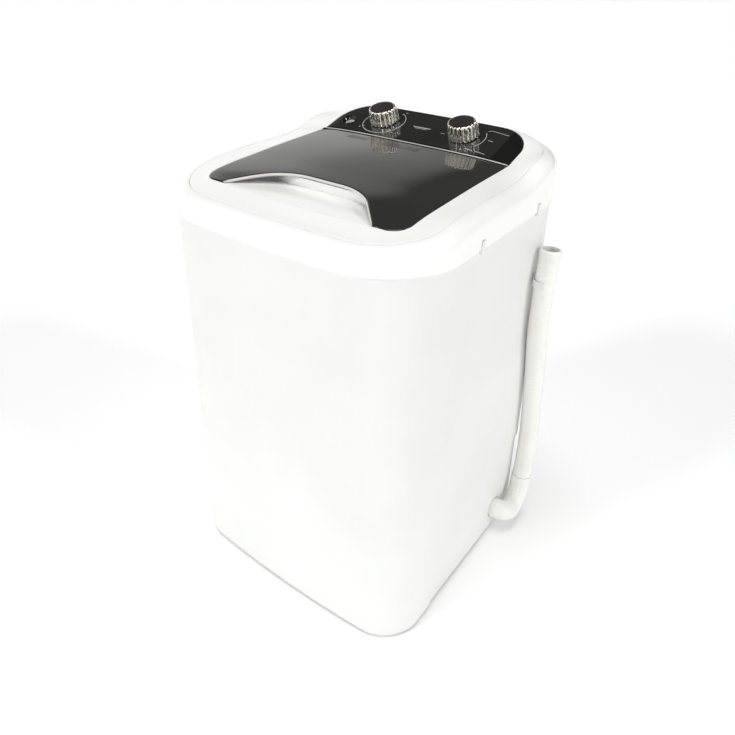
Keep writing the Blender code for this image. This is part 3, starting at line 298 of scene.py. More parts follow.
def moulded(name, colour, shade, rough, grain_mm=0.9, grain_depth=0.012, ior=1.49, **more):
    """Moulded plastic: a faint cloud in its colour, and the tool's fine texture as a bump."""
    made, tree, shader, where = start(name, colour, rough, ior=ior, **more)
    tint(tree, shader, noise(tree, where, 9.0, 3.0), shade, colour)
    rough_by(tree, shader, noise(tree, where, 38.0, 2.0), rough * 0.86, rough * 1.16)
    bump(tree, shader, noise(tree, where, 1 / (grain_mm * MM), 2.0), grain_depth)
    return made


def metal(name, colour, shade, rough, spread=0.06, scale=300.0, depth=0.004):
    """Bare or plated metal: a slight drift in tone and a fine grain in its roughness."""
    made, tree, shader, where = start(name, colour, rough, metal=1.0)
    tint(tree, shader, noise(tree, where, 40.0, 3.0), shade, colour)
    grain = noise(tree, where, scale, 3.0)
    rough_by(tree, shader, grain, max(rough - spread, 0.02), rough + spread)
    bump(tree, shader, grain, depth)
    return made


# %% [markdown]
# ## Finishes
#
# The cabinet is white ABS with a satin tool texture, the deck a glossier grade of the same. The
# lid is smoked acrylic, the control panel gloss black ABS under a clear film, and the dials are
# ABS with bright chrome plating. ABS has an IOR near 1.52, acrylic 1.49 and polypropylene 1.49.

# %% Finishes
CABINET_ABS = moulded("satin moulded white ABS", "ECEDEB", "E8E9E6", 0.34, 1.1, 0.010, 1.52)
DECK_ABS = moulded("gloss moulded white ABS", "FAFAF8", "F7F7F4", 0.2, 1.4, 0.006, 1.52)
PANEL_ABS = moulded("gloss black moulded ABS", "121211", "0E0E0E", 0.07, 2.0, 0.003, 1.52)
PANEL_FILM = moulded("clear coated charcoal film", "262625", "232322", 0.08, 2.0, 0.003, 1.5)
CAP_ABS = moulded("spun black film on ABS", "2B2927", "242220", 0.26, 0.8, 0.01, 1.52)
SMOKED = moulded("polished smoked acrylic", "2F2F2C", "2B2B28", 0.07, 3.0, 0.003, 1.49)
CHROME = metal("bright chrome plating on ABS", "F4F0E4", "EDE8DB", 0.05, 0.01, 60, 0.0002)
ZINC = metal("zinc plated steel", "B9BAB6", "A6A7A4", 0.34, 0.08, 700)
ALLOY = metal("die cast aluminium alloy", "B4B4B2", "A2A2A0", 0.5, 0.1, 900, 0.02)
ENAMEL = metal("dark enamelled motor can", "3A3C3F", "323437", 0.42, 0.06, 500, 0.01)
BRONZE = metal("oiled sintered bronze", "B08D57", "9A7848", 0.42, 0.1, 1200, 0.02)
RUBBER = moulded("moulded black rubber", "1A1A1A", "131313", 0.72, 0.7, 0.03, 1.52)
HOSE_PVC = moulded("soft off-white PVC", "F8F8F3", "F2F2EC", 0.42, 0.8, 0.015, 1.53)
TUB_PP = moulded("moulded pale polypropylene", "E2E4E3", "DCDEDD", 0.3, 1.2, 0.012, 1.49)
PULSATOR_PP = moulded("moulded blue-grey polypropylene", "7D9AAB", "7492A4", 0.32, 1.2, 0.012)
NYLON = moulded("dark moulded nylon", "26262A", "1F1F22", 0.5, 0.9, 0.02, 1.53)
PRINT = moulded("screen-printed pale ink", "C9C9C2", "BDBDB6", 0.4, 0.5, 0.002)
# Pale paint for two painted highlights: the lid's polished cut-out edge and the seam at the hinge.
EDGE_HIGHLIGHT_PAINT = moulded("pale paint for edge highlights", "D9D9D2", "CFCFC8", 0.12, 2.0, 0.002)


def filter_net():
    """Nylon filter net: threads 0.6 mm apart both ways, drawn as a bump and a change of tone."""
    made, tree, shader, where = start("woven nylon filter net", "8FA6B2", 0.55)
    spacing = 1.2 * MM
    both = []
    for direction in ("X", "Z"):
        wave = add(tree, "ShaderNodeTexWave", {"bands_direction": direction},
                   {"Vector": where}, Scale=math.pi / 10 / spacing)
        both.append(wave.outputs["Fac"])
    weave = add(tree, "ShaderNodeMath", {"operation": "MAXIMUM"},
                {0: both[0], 1: both[1]}).outputs["Value"]
    tint(tree, shader, weave, "5E7684", "9FB4BF", 0.3, 0.8)
    bump(tree, shader, weave, 0.3)
    return made


NET = filter_net()
print(len(bpy.data.materials), "materials")

# %% [markdown]
# ## The drain hose
#
# A corrugated PVC hose of 26 mm leaves the elbow at the foot of the right side, stands up the rear
# corner and is held by a clip near its open end. It is one tube: a circle carried along a smooth
# route, its radius rippled by the corrugation. The route's points are the same as the CAD's.

# %% Drain hose
HOSE_RADIUS, HOSE_WALL = 13.2 * MM, 2.2 * MM
RIB_PITCH, RIB_DEPTH, RIB_FADE = 4.6 * MM, 0.45 * MM, 16 * MM


def smooth_route(points, count):
    """Catmull-Rom curve through points, read at count even steps along its length."""
    p = np.asarray(points, float)
    p = np.vstack([2 * p[0] - p[1], p, 2 * p[-1] - p[-2]])
    a, b, c, d = (p[i:len(p) - 3 + i, None] for i in range(4))
    t = (np.arange(24) / 24)[None, :, None]
    fine = 0.5 * (2 * b + (c - a) * t + (2 * a - 5 * b + 4 * c - d) * t * t
                  + (3 * b - a - 3 * c + d) * t ** 3)
    fine = np.vstack([fine.reshape(-1, 3), p[-2]])
    far = np.concatenate([[0], np.cumsum(np.linalg.norm(np.diff(fine, axis=0), axis=1))])
    want = np.linspace(0, far[-1], count)
    return np.stack([np.interp(want, far, fine[:, i]) for i in range(3)], 1)


def tube_rings(path, radius, sides=40):
    """Circles square to a path. The first sideways direction is carried along without a twist."""
    path = np.asarray(path, float)
    ahead = np.gradient(path, axis=0)
    ahead /= np.linalg.norm(ahead, axis=1)[:, None]
    side = np.cross(ahead, (0.0, 1.0, 0.0))
    side /= np.linalg.norm(side, axis=1)[:, None]
    third = np.cross(ahead, side)
    turn = full_turn(sides)
    radius = np.broadcast_to(radius, len(path))[:, None, None]
    return (path[:, None] + radius * (side[:, None] * np.cos(turn)[None, :, None]
                                      + third[:, None] * np.sin(turn)[None, :, None]))


elbow_points = np.array([(170, 84, 39), (180, 84.5, 38.5), (188, 89.5, 35), (191.6, 99, 31.5),
                         (191.8, 112, 31), (191.6, 124, 40), (191.5, 132, 56),
                         (191.6, 135, 74)]) * MM
elbow_route = smooth_route(elbow_points, 13)
lead = elbow_route[-1] - elbow_route[-2]
lead /= np.linalg.norm(lead)
hose_points = np.vstack([elbow_route[-1] + lead * 14 * MM,
                         np.array([(192.1, 138, 125), (192.3, 136.5, 165), (193, 123, 262),
                                   (195, 107, 335), (197.2, 102.5, 412),
                                   (197.4, 105.5, 440)]) * MM])
hose_route = np.vstack([elbow_route[-1] + lead * 0.5 * MM, smooth_route(hose_points, 13)])
steps = np.concatenate([[0], np.cumsum(np.linalg.norm(np.diff(hose_route, axis=0), axis=1))])
HOSE_LENGTH = float(steps[-1])
fine_path = smooth_route(hose_route, int(HOSE_LENGTH / RIB_PITCH * 8))
along_hose = np.linspace(0, HOSE_LENGTH, len(fine_path))
ends = np.clip(np.minimum(along_hose, HOSE_LENGTH - along_hose) / RIB_FADE, 0, 1)
ripple = RIB_DEPTH * ends * (0.5 - 0.5 * np.cos(2 * math.pi * along_hose / RIB_PITCH))
hose_outside = tube_rings(fine_path, HOSE_RADIUS - ripple)
hose_inside = tube_rings(fine_path, HOSE_RADIUS - HOSE_WALL)[::-1]
drain_hose = ring_skin("hose_tube", np.concatenate([hose_outside, hose_inside]), HOSE_PVC, 60)
on_body(drain_hose, "machine", "hose_cream", "drain_hose")
print("hose length, mm:", round(HOSE_LENGTH / MM, 1))

# %% [markdown]
# ## The shapes that the skins share
#
# Every large skin follows two height lines, one along the lid's edge and one along the seam of
# the deck, and a rounded rectangle whose front bows out a little. The lines are smooth cubic
# curves through a few heights. A drawn polyline would do, but its corners show as bands in the
# reflections of a glossy skin.

# %% Height lines and outlines
PANEL_HALF, PANEL_FRONT, PANEL_REAR = 138 * MM, -132.7 * MM, 159.5 * MM
PANEL_FRONT_RADIUS, PANEL_REAR_RADIUS, PANEL_BOW = 20 * MM, 43 * MM, 6.5 * MM
HINGE_Y, KINK_Y, CONSOLE_FRONT = 84.2 * MM, 86.8 * MM, 88.6 * MM
CROWN, PANEL_THICK, DECK_THICK = 3 * MM, 3 * MM, 6.6 * MM
LID_LINE = np.array([(-190, 525.5), (-132.7, 532.5), (-105, 537), (-42.5, 541), (16, 543.8),
                     (86.8, 545.8)]) * MM
SLOPE_LINE = np.array([(86.8, 545.8), (159.5, 568), (190, 570)]) * MM
SEAM_LINE = np.array([(-190, 526.5), (-164.5, 528.5), (-123.5, 533), (-83.5, 539),
                      (-29.5, 541.8), (61.5, 544.3), (98.5, 555), (140, 558.5),
                      (190, 562)]) * MM


def smooth_heights(line):
    """Cubic curve through (y, z) points, its slope at each the mean of the runs beside it."""
    y, z = line[:, 0], line[:, 1]
    run = np.diff(z) / np.diff(y)
    slope = np.concatenate([run[:1], (run[1:] + run[:-1]) / 2, run[-1:]])
    fine = np.linspace(y[0], y[-1], 1600)
    i = np.clip(np.searchsorted(y, fine) - 1, 0, len(run) - 1)
    gap = y[i + 1] - y[i]
    t = (fine - y[i]) / gap
    level = ((2 * t ** 3 - 3 * t ** 2 + 1) * z[i] + (t ** 3 - 2 * t ** 2 + t) * gap * slope[i]
             + (3 * t ** 2 - 2 * t ** 3) * z[i + 1] + (t ** 3 - t ** 2) * gap * slope[i + 1])
    return fine, level


LID_CURVE, SEAM_CURVE = smooth_heights(LID_LINE), smooth_heights(SEAM_LINE)


def edge_height(y):
    """Height along the edge: the lid's curve, then the panel's straight slope."""
    return np.where(y < KINK_Y, np.interp(y, *LID_CURVE),
                    np.interp(y, SLOPE_LINE[:, 0], SLOPE_LINE[:, 1]))


def seam_height(y):
    """Height of the seam between the deck and its collar."""
    return np.interp(y, *SEAM_CURVE)


def outside_panel(x, y):
    """Signed distance from the rounded outline of lid and panel, positive outside."""
    middle, half = (PANEL_FRONT + PANEL_REAR) / 2, (PANEL_REAR - PANEL_FRONT) / 2
    radius = np.where(y < middle, PANEL_FRONT_RADIUS, PANEL_REAR_RADIUS)
    over_x, over_y = abs(x) - (PANEL_HALF - radius), abs(y - middle) - (half - radius)
    return (np.hypot(np.maximum(over_x, 0), np.maximum(over_y, 0))
            + np.minimum(np.maximum(over_x, over_y), 0) - radius)


def deck_height(x, y):
    """Height of the top: the edge line plus a crown that falls with the fourth power of x."""
    x, y = np.asarray(x, float), np.asarray(y, float)
    crown = CROWN * (1 - np.minimum(abs(x) / PANEL_HALF, 1) ** 4)
    blend = np.clip(outside_panel(x, y) / (28 * MM), 0, 1)
    return (edge_height(y) + crown) * (1 - blend) + seam_height(y) * blend


def plan(half, front, rear, r_front, r_rear, bow=0.0, side=None, corner=20, face=40):
    """Rounded rectangle, anticlockwise from its right rear corner: quarter circles joined by
    straight runs, its front half pushed out by bow times one minus the square of x over half."""
    quarter = np.linspace(0, math.pi / 2, corner)
    flat = np.linspace(1, -1, face)[1:-1]

    def arc(cx, cy, radius, first):
        return np.stack([cx + radius * np.cos(quarter + first),
                         cy + radius * np.sin(quarter + first)], 1)

    if side is None:
        side = np.linspace(front + r_front, rear - r_rear, 34)[1:-1]
    side = np.asarray(side)
    points = np.vstack([
        arc(half - r_rear, rear - r_rear, r_rear, 0),
        np.stack([(half - r_rear) * flat, np.full(len(flat), rear)], 1),
        arc(-half + r_rear, rear - r_rear, r_rear, math.pi / 2),
        np.stack([np.full(len(side), -half), side[::-1]], 1),
        arc(-half + r_front, front + r_front, r_front, math.pi),
        np.stack([-(half - r_front) * flat, np.full(len(flat), front)], 1),
        arc(half - r_front, front + r_front, r_front, 1.5 * math.pi),
        np.stack([np.full(len(side), half), side], 1)])
    middle = (front + rear) / 2
    share = np.maximum((middle - points[:, 1]) / (middle - front), 0)
    points[:, 1] -= bow * share * (1 - (points[:, 0] / half) ** 2)
    return points


def lifted(outline, height):
    """Gives a flat outline its height, one number or one for each point."""
    return np.column_stack([outline, np.broadcast_to(height, len(outline))])


print("top at the hinge, mm:", round(float(deck_height(0, HINGE_Y)) / MM, 1))

# %% [markdown]
# ## Cabinet
#
# One tall moulding, open above and below, a little smaller at its foot so that it leaves the
# mould. Its outline is read at many heights and the rings are skinned. Behind a line near the
# front of each side, the lower part steps in by 2 mm, which gives the fine upright line there.

# %% Cabinet
BODY_WIDTH, BODY_DEPTH, COLLAR_Z = 370 * MM, 378.2 * MM, 502 * MM
FOOT_HEIGHT, BASE_WIDTH, BASE_DEPTH, BASE_REAR = 5 * MM, 352 * MM, 351.7 * MM, 176.2 * MM
TOP_RADIUS, BASE_RADIUS, FRONT_BOW, WALL = 85 * MM, 49 * MM, 9 * MM, 2.5 * MM
SHELL_TOP, SHELL_HALF = COLLAR_Z + 5 * MM, BODY_WIDTH / 2 - WALL
COLLAR_FRONT, COLLAR_REAR = -BODY_DEPTH / 2 + FRONT_BOW, BODY_DEPTH / 2
STEP_Y, STEP_TOP, STEP_IN, REAR_LIFT = -87.5 * MM, 143 * MM, 2 * MM, 6 * MM
SHELL_SIDE = np.concatenate([[-94.2, -91.5, -89.2, -87.75, -87.25, -85.5],
                             np.linspace(-80, 98.5, 27)]) * MM


def shell_ring(z, inset, stepped):
    """Cabinet outline at a height, its sizes going evenly from the foot's to the collar's."""
    share = min((z - FOOT_HEIGHT) / (COLLAR_Z - FOOT_HEIGHT), 1)
    half = BASE_WIDTH / 2 + (SHELL_HALF - BASE_WIDTH / 2) * share
    base_front = BASE_REAR - BASE_DEPTH + FRONT_BOW
    front = base_front + (COLLAR_FRONT + WALL - base_front) * share
    rear = BASE_REAR + (COLLAR_REAR - WALL - BASE_REAR) * share
    radius = BASE_RADIUS + (TOP_RADIUS - WALL - BASE_RADIUS) * share - inset
    x, y = plan(half - inset, front + inset, rear - inset, radius, radius, FRONT_BOW,
                side=SHELL_SIDE).T
    behind = y > STEP_Y
    pull = behind * stepped
    x = x - pull * np.sign(x) * STEP_IN * np.minimum(abs(x) / (half - inset), 1)
    y = y - pull * STEP_IN * np.maximum(y, 0) / rear
    return np.column_stack([x, y, z + REAR_LIFT * behind * (z < FOOT_HEIGHT + 1e-6)])


heights = np.concatenate([[5, 5.35, 6.2, 11.5], np.linspace(20, 141.6, 10), [142.6, 143.4, 144.4],
                          np.linspace(170, 502, 16), [507]]) * MM
outer = []
for z in heights:
    low_edge = np.interp(z, [FOOT_HEIGHT, FOOT_HEIGHT + 1.2 * MM], [0.5 * MM, 0])
    outer.append(shell_ring(z, low_edge, z < STEP_TOP))
inner = [shell_ring(z, WALL, z < STEP_TOP) for z in heights[::-1]]
cabinet = ring_skin("cabinet_skin", outer + inner, CABINET_ABS, 28)
port = spot(174 * MM, 84 * MM, 39 * MM, "Y")
gland = spot(-105 * MM, BASE_REAR, 70 * MM, "X")


def plug(radius, low, high, matrix, sides=48):
    """A round cutter from low to high along its own Z, put in place by a matrix."""
    turn = full_turn(sides)
    ring = np.stack([radius * np.cos(turn), radius * np.sin(turn)], 1)
    return place(capped_skin("cutter", [lifted(ring, low), lifted(ring, high)], CABINET_ABS),
                 matrix)


cut(cabinet, [plug(15.2 * MM, -12 * MM, 15 * MM, port), plug(6.5 * MM, -20 * MM, 20 * MM, gland)],
    sharp=28)
on_body(cabinet, "machine", "cabinet_white", "cabinet_shell")

# %% [markdown]
# ## Collar
#
# The collar is a separate gloss moulding that caps the cabinet. Its side rises from the lower
# lip, turns over a quarter of an ellipse, and ends at the seam where the deck sits in it. Each
# ring of the skin is the same outline, drawn in by its share of the turn.

# %% Collar
SEAM_INSET, SHOULDER, LEDGE, LEDGE_GAP, FIT = 18.3 * MM, 17 * MM, 10 * MM, 2.6 * MM, 0.3 * MM


def collar_plan(inset):
    """The collar's outline, drawn in by inset."""
    return plan(BODY_WIDTH / 2 - inset, COLLAR_FRONT + inset, COLLAR_REAR - inset,
                TOP_RADIUS - inset, TOP_RADIUS - inset, FRONT_BOW)


SEAM_Z = seam_height(collar_plan(SEAM_INSET)[:, 1])


def collar_ring(inset, rise, from_seam=True):
    """One ring of the collar, its height counted from the seam or, if not, from the floor."""
    return lifted(collar_plan(inset), SEAM_Z + rise if from_seam else rise)


rings = [collar_ring(1.3 * MM, COLLAR_Z, False), collar_ring(0.6 * MM, COLLAR_Z + 0.1 * MM, False),
         collar_ring(0.15 * MM, COLLAR_Z + 0.5 * MM, False),
         collar_ring(0, COLLAR_Z + 1.3 * MM, False)]
for angle in np.linspace(0, math.pi / 2, 15):
    rings.append(collar_ring((SEAM_INSET - FIT - 0.5 * MM) * (1 - math.cos(angle)),
                             -SHOULDER * (1 - math.sin(angle))))
rings += [collar_ring(SEAM_INSET - FIT - 0.15 * MM, -0.15 * MM),
          collar_ring(SEAM_INSET - FIT, -0.6 * MM)]
low = -DECK_THICK - LEDGE_GAP
rings += [collar_ring(SEAM_INSET - FIT, low), collar_ring(SEAM_INSET + LEDGE, low),
          collar_ring(SEAM_INSET + LEDGE, low - WALL), collar_ring(SEAM_INSET - 2 * MM, low - WALL),
          collar_ring(SEAM_INSET * 0.34, -SHOULDER * 0.48), collar_ring(WALL - FIT, -SHOULDER),
          collar_ring(WALL - FIT, COLLAR_Z, False)]
collar = ring_skin("collar_skin", rings, DECK_ABS, 40)


def box_cutter(low_corner, high_corner):
    """An upright box between two corners, as a cutter."""
    corners = np.array([low_corner, high_corner])
    points = np.array([(corners[i, 0], corners[j, 1], corners[k, 2])
                       for i in (0, 1) for j in (0, 1) for k in (0, 1)])
    faces = [(0, 1, 3, 2), (4, 6, 7, 5), (0, 4, 5, 1), (2, 3, 7, 6), (0, 2, 6, 4), (1, 5, 7, 3)]
    return outward(mesh_object("cutter", points, faces, CABINET_ABS))


LATCH_INSET, SLOT_REACH, SLOT_HALF = 7 * MM, 12 * MM, 3.3 * MM
SLOT_LOW, SLOT_HIGH = COLLAR_Z - 4 * MM, COLLAR_Z + 11 * MM
slots = []
for sign in (1, -1):
    x = sign * (BODY_WIDTH / 2 - LATCH_INSET)
    for y in (-53.5 * MM, 80.5 * MM):
        slots.append(box_cutter((x - SLOT_REACH, y - SLOT_HALF, SLOT_LOW),
                                (x + SLOT_REACH, y + SLOT_HALF, SLOT_HIGH)))
cut(collar, slots, sharp=40)
on_body(collar, "machine", "deck_white", "top_collar")

# %% [markdown]
# ## Deck
#
# The deck carries the lid and the panel. From its outer edge inwards it is a frame that follows
# the seam, a step down into the recess, the recess floor, a finger shelf at the front, and the
# wall round the loading mouth. Each of those edges is one row of a single grid, so that every
# edge is crisp. Rows between two edges share out the distance evenly.

# %% Deck
RIM_HALF, RIM_FRONT, RIM_REAR, RIM_RADIUS = 112 * MM, -76.5 * MM, 72 * MM, 56 * MM
RIM_WALL, RIM_DROP, RIM_BOTTOM = 4 * MM, 5 * MM, SHELL_TOP + 8 * MM
SHELF_FRONT_Z, SHELF_REAR_Z = 532 * MM, 527.5 * MM


def panel_plan(gap):
    """The outline of lid and panel together, widened by gap."""
    return plan(PANEL_HALF + gap, PANEL_FRONT - gap, PANEL_REAR + gap, PANEL_FRONT_RADIUS + gap,
                PANEL_REAR_RADIUS + gap, PANEL_BOW)


def rim_plan(inset):
    """The outline of the loading mouth's rim, drawn in by inset."""
    return plan(RIM_HALF - inset, RIM_FRONT + inset, RIM_REAR - inset, RIM_RADIUS - inset,
                RIM_RADIUS - inset)


def over(outline, drop=0.0):
    """An outline laid on the deck surface, lowered by drop."""
    return lifted(outline, deck_height(outline[:, 0], outline[:, 1]) - drop)


def between(first, last, count):
    """Rings shared out evenly between two outlines, ends left out."""
    return [first + (last - first) * k / (count + 1) for k in range(1, count + 1)]


recess = panel_plan(0.5 * MM)
rim_outer = rim_plan(0)
# Where each line from the recess edge to the rim crosses the finger shelf's own outline.
shelf_edge = np.array([(82, -62), (87, -76), (100, -112), (105, -124), (104.4, -130),
                       (101, -133.4), (52, -136.6), (0, -138.6)]) * MM
shelf_edge = np.vstack([shelf_edge, shelf_edge[-2::-1] * (-1, 1)])


def crossing_share(a, b, line):
    """Share of the way from a to b where each segment first meets a polyline, 1 if never."""
    p, d = a[:, None], (b - a)[:, None]
    q, e = line[None, :-1], np.diff(line, axis=0)[None]
    cross = d[..., 0] * e[..., 1] - d[..., 1] * e[..., 0]
    cross = np.where(abs(cross) < 1e-12, 1e-12, cross)
    w = q - p
    t = (w[..., 0] * e[..., 1] - w[..., 1] * e[..., 0]) / cross
    s = (w[..., 0] * d[..., 1] - w[..., 1] * d[..., 0]) / cross
    met = (t >= 0) & (t <= 1) & (s >= 0) & (s <= 1)
    return np.where(met, t, 1.0).min(1)


share = crossing_share(recess, rim_outer, shelf_edge)[:, None]
in_shelf = share[:, 0] < 0.999
shelf_plan = recess + (rim_outer - recess) * share
seam_plan = collar_plan(SEAM_INSET)


def shelf_floor(outline, drop=0.0):
    """The shelf's floor, an even slope down to the rear, or the recess floor beside it."""
    t = (outline[:, 1] - PANEL_FRONT) / (RIM_FRONT - PANEL_FRONT)
    shelf = SHELF_FRONT_Z + (SHELF_REAR_Z - SHELF_FRONT_Z) * t
    floor = deck_height(outline[:, 0], outline[:, 1]) - PANEL_THICK - FIT
    return lifted(outline, np.where(in_shelf, shelf, floor) - drop)


frame_outer = [over(collar_plan(SEAM_INSET + 0.05 * MM), 0.7 * MM),
               over(collar_plan(SEAM_INSET + 0.2 * MM), 0.2 * MM),
               over(collar_plan(SEAM_INSET + 0.7 * MM))]
frame_inner = [over(panel_plan(1.3 * MM)), over(panel_plan(0.8 * MM), 0.12 * MM),
               over(panel_plan(0.55 * MM), 0.45 * MM)]
frame_rows = [over(flat) for flat in between(collar_plan(SEAM_INSET + 0.7 * MM),
                                             panel_plan(1.3 * MM), 12)]
floor_drop = PANEL_THICK + FIT
floor_rows = [over(recess, floor_drop)] + [over(flat, floor_drop) for flat in
                                           between(recess, shelf_plan, 6)]
floor_rows.append(over(shelf_plan, floor_drop))
shelf_rows = [shelf_floor(shelf_plan)]
shelf_rows += [shelf_floor(flat) for flat in between(shelf_plan, rim_outer, 6)]
shelf_rows.append(shelf_floor(rim_outer))


def rim_row(inset, drop, beside):
    """A row over the rim: drop below the deck where it stands up, and beside elsewhere."""
    outline = rim_plan(inset)
    top = deck_height(outline[:, 0], outline[:, 1])
    return lifted(outline, top - np.where(in_shelf, drop, beside))


# Each row's inset from the rim's outline, its drop where the rim stands up, its drop elsewhere.
RIM_ROWS = [(0, RIM_DROP + 1 * MM, floor_drop), (0.3 * MM, RIM_DROP + 0.3 * MM, floor_drop),
            (1 * MM, RIM_DROP, floor_drop), (2 * MM, RIM_DROP, floor_drop),
            (2.1 * MM, RIM_DROP, RIM_DROP), (RIM_WALL - 0.8 * MM, RIM_DROP, RIM_DROP),
            (RIM_WALL - 0.2 * MM, RIM_DROP + 0.3 * MM, RIM_DROP + 0.3 * MM),
            (RIM_WALL, RIM_DROP + 1 * MM, RIM_DROP + 1 * MM)]
rim_rows = [rim_row(*row) for row in RIM_ROWS]
rim_rows += [lifted(rim_plan(RIM_WALL), RIM_BOTTOM), lifted(rim_outer, RIM_BOTTOM)]
under_rows = [lifted(flat, np.minimum(shelf_floor(flat, WALL)[:, 2], over(flat, DECK_THICK)[:, 2]))
              for flat in [rim_outer] + between(rim_outer, shelf_plan, 3) + [shelf_plan]]
under_rows += [over(flat, DECK_THICK) for flat in between(shelf_plan, panel_plan(3 * MM), 12)
               + [panel_plan(3 * MM)] + between(panel_plan(3 * MM), seam_plan, 5) + [seam_plan]]
deck = ring_skin("deck_skin", frame_outer + frame_rows + frame_inner + floor_rows + shelf_rows
                 + rim_rows + under_rows, DECK_ABS, 34)
slope_run, slope_rise = SLOPE_LINE[1] - SLOPE_LINE[0]
PANEL_SLOPE = math.atan2(slope_rise, slope_run)


def on_panel(x, y):
    """Matrix of a spot on the sloping panel: its Z stands square out of the panel."""
    return (Matrix.Translation((x, y, float(deck_height(x, y))))
            @ Matrix.Rotation(PANEL_SLOPE, 4, "X"))


TIMER_SPOT, SELECTOR_SPOT = np.array((-64, 123)) * MM, np.array((57, 123)) * MM
TIMER, SELECTOR = on_panel(*TIMER_SPOT), on_panel(*SELECTOR_SPOT)
INLET, INLET_RADIUS = on_panel(-117 * MM, 115 * MM), 11 * MM
SHAFT_HOLE, HOLE_LOW, HOLE_HIGH = 5 * MM, -30 * MM, 20 * MM


def panel_holes():
    """Cutters for the two dial shafts and the inlet, square to the panel."""
    return [plug(SHAFT_HOLE, HOLE_LOW, HOLE_HIGH, TIMER),
            plug(SHAFT_HOLE, HOLE_LOW, HOLE_HIGH, SELECTOR),
            plug(INLET_RADIUS + FIT, HOLE_LOW, HOLE_HIGH, INLET, 64)]


BARREL_Z = float(deck_height(PANEL_HALF, HINGE_Y)) - 1.1 * MM
TROUGH_RADIUS, TROUGH_HALF, PIN_HOLE, PIN_HALF = 4.6 * MM, 138.5 * MM, 1.6 * MM, 145 * MM
pins = spot(0, HINGE_Y, BARREL_Z, "Y")
cut(deck, panel_holes() + [plug(TROUGH_RADIUS, -TROUGH_HALF, TROUGH_HALF, pins),
                           plug(PIN_HOLE, -PIN_HALF, PIN_HALF, pins, 24)], sharp=34)
on_body(deck, "machine", "deck_white", "top_deck")

# %% [markdown]
# ## Lid and control panel
#
# Both are plates that follow the crowned top and end in a rounded edge. A plate is a grid of
# columns that run back to front, and the distance of each point from the outline says how far
# its two faces have closed in on each other, which rounds the edge like a bullnose.


# %% Plates
def edge_distance(points, line):
    """Distance of each point from a closed polyline, all pairs at once in blocks of rows."""
    a, b = line, np.roll(line, -1, axis=0)
    d = b - a
    length = (d ** 2).sum(1) + 1e-18
    found = []
    for block in np.array_split(points, max(len(points) // 2000, 1)):
        t = np.clip(((block[:, None] - a) * d).sum(2) / length, 0, 1)
        found.append(np.linalg.norm(block[:, None] - (a + t[..., None] * d), axis=2).min(1))
    return np.concatenate(found)


def plate(name, flat, outline, thick, radius, skin, sharp=40):
    """A plate on the deck surface. flat is a grid of (x, y). Within radius of its outline each
    face falls by radius minus the root of radius squared less the square of what is left."""
    rows, columns, _ = flat.shape
    points = flat.reshape(-1, 2)
    left = np.clip(radius - edge_distance(points, outline), 0, radius)
    fall = (radius - np.sqrt(np.maximum(radius ** 2 - left ** 2, 0))) * (thick / 2 / radius)
    top = deck_height(points[:, 0], points[:, 1])
    both = np.vstack([np.column_stack([points, top - fall]),
                      np.column_stack([points, top - thick + fall])])
    faces = np.vstack([grid_faces(rows, columns),
                       grid_faces(rows, columns, start=rows * columns)[:, ::-1]])
    made = outward(mesh_object(name, both, faces, skin, sharp))
    made.data.set_sharp_from_angle(angle=math.radians(sharp))
    return made


def packed_steps(count, near):
    """Shares from 0 to 1 that crowd towards both ends: near lists the first few."""
    middle = np.linspace(near[-1], 1 - near[-1], count)
    return np.concatenate([near[:-1], middle, 1 - np.array(near[:-1])[::-1]])


CUT_REAR, CUT_REAR_HALF, CUT_FRONT_HALF, CUT_RADIUS = -77.5 * MM, 53 * MM, 104 * MM, 70 * MM
CUT_TIP, EDGE_ROUND = 106.4 * MM, 1.5 * MM
sweep = math.pi / 2 - math.atan2(CUT_FRONT_HALF - CUT_REAR_HALF, CUT_REAR - PANEL_FRONT)
turn = np.linspace(0, sweep, 26)
reach = CUT_RADIUS * math.tan(sweep / 2)
scoop = np.stack([CUT_REAR_HALF - reach + CUT_RADIUS * np.sin(turn),
                  CUT_REAR - CUT_RADIUS * (1 - np.cos(turn))], 1)


def front_bow(x):
    """How far the front edge bows out: its bow times one minus the square of x over half."""
    return PANEL_BOW * (1 - (x / PANEL_HALF) ** 2)


down = np.linspace(0, 1, 18)[1:, None]
tip = np.array([CUT_TIP, PANEL_FRONT - front_bow(CUT_TIP)])
side_run = scoop[-1] + (tip - scoop[-1]) * down
to_corner = np.linspace(CUT_TIP, PANEL_HALF - PANEL_FRONT_RADIUS, 8)[1:]
front_run = np.stack([to_corner, PANEL_FRONT - front_bow(to_corner)], 1)
turn = np.linspace(0, math.pi / 2, 22)[1:]
round_x = PANEL_HALF - PANEL_FRONT_RADIUS * (1 - np.sin(turn))
round_y = PANEL_FRONT + PANEL_FRONT_RADIUS * (1 - np.cos(turn))
bow_end = -24.25 * MM
share = np.clip((bow_end - round_y) / (bow_end - PANEL_FRONT), 0, 1)
corner_run = np.stack([round_x, round_y - share * front_bow(round_x)], 1)
centre_run = np.stack([np.linspace(0, scoop[0, 0], 16)[:-1], np.full(15, CUT_REAR)], 1)
chain = np.vstack([centre_run, scoop, side_run, front_run, corner_run])
chain = np.vstack([chain[:0:-1] * (-1, 1), chain])
LID_REAR = HINGE_Y + 0.2 * MM
lid_outline = np.vstack([chain, [[PANEL_HALF, LID_REAR], [-PANEL_HALF, LID_REAR]]])
shares = packed_steps(70, [0, 0.0006, 0.002, 0.004, 0.0075, 0.015])
rear_line = np.stack([chain[:, 0], np.full(len(chain), LID_REAR)], 1)
lid_flat = chain[None] + (rear_line - chain)[None] * shares[:, None, None]
lid = plate("lid_skin", lid_flat, lid_outline, PANEL_THICK, EDGE_ROUND, SMOKED)
on_body(lid, "lid", "smoked_lid", "lid_panel")

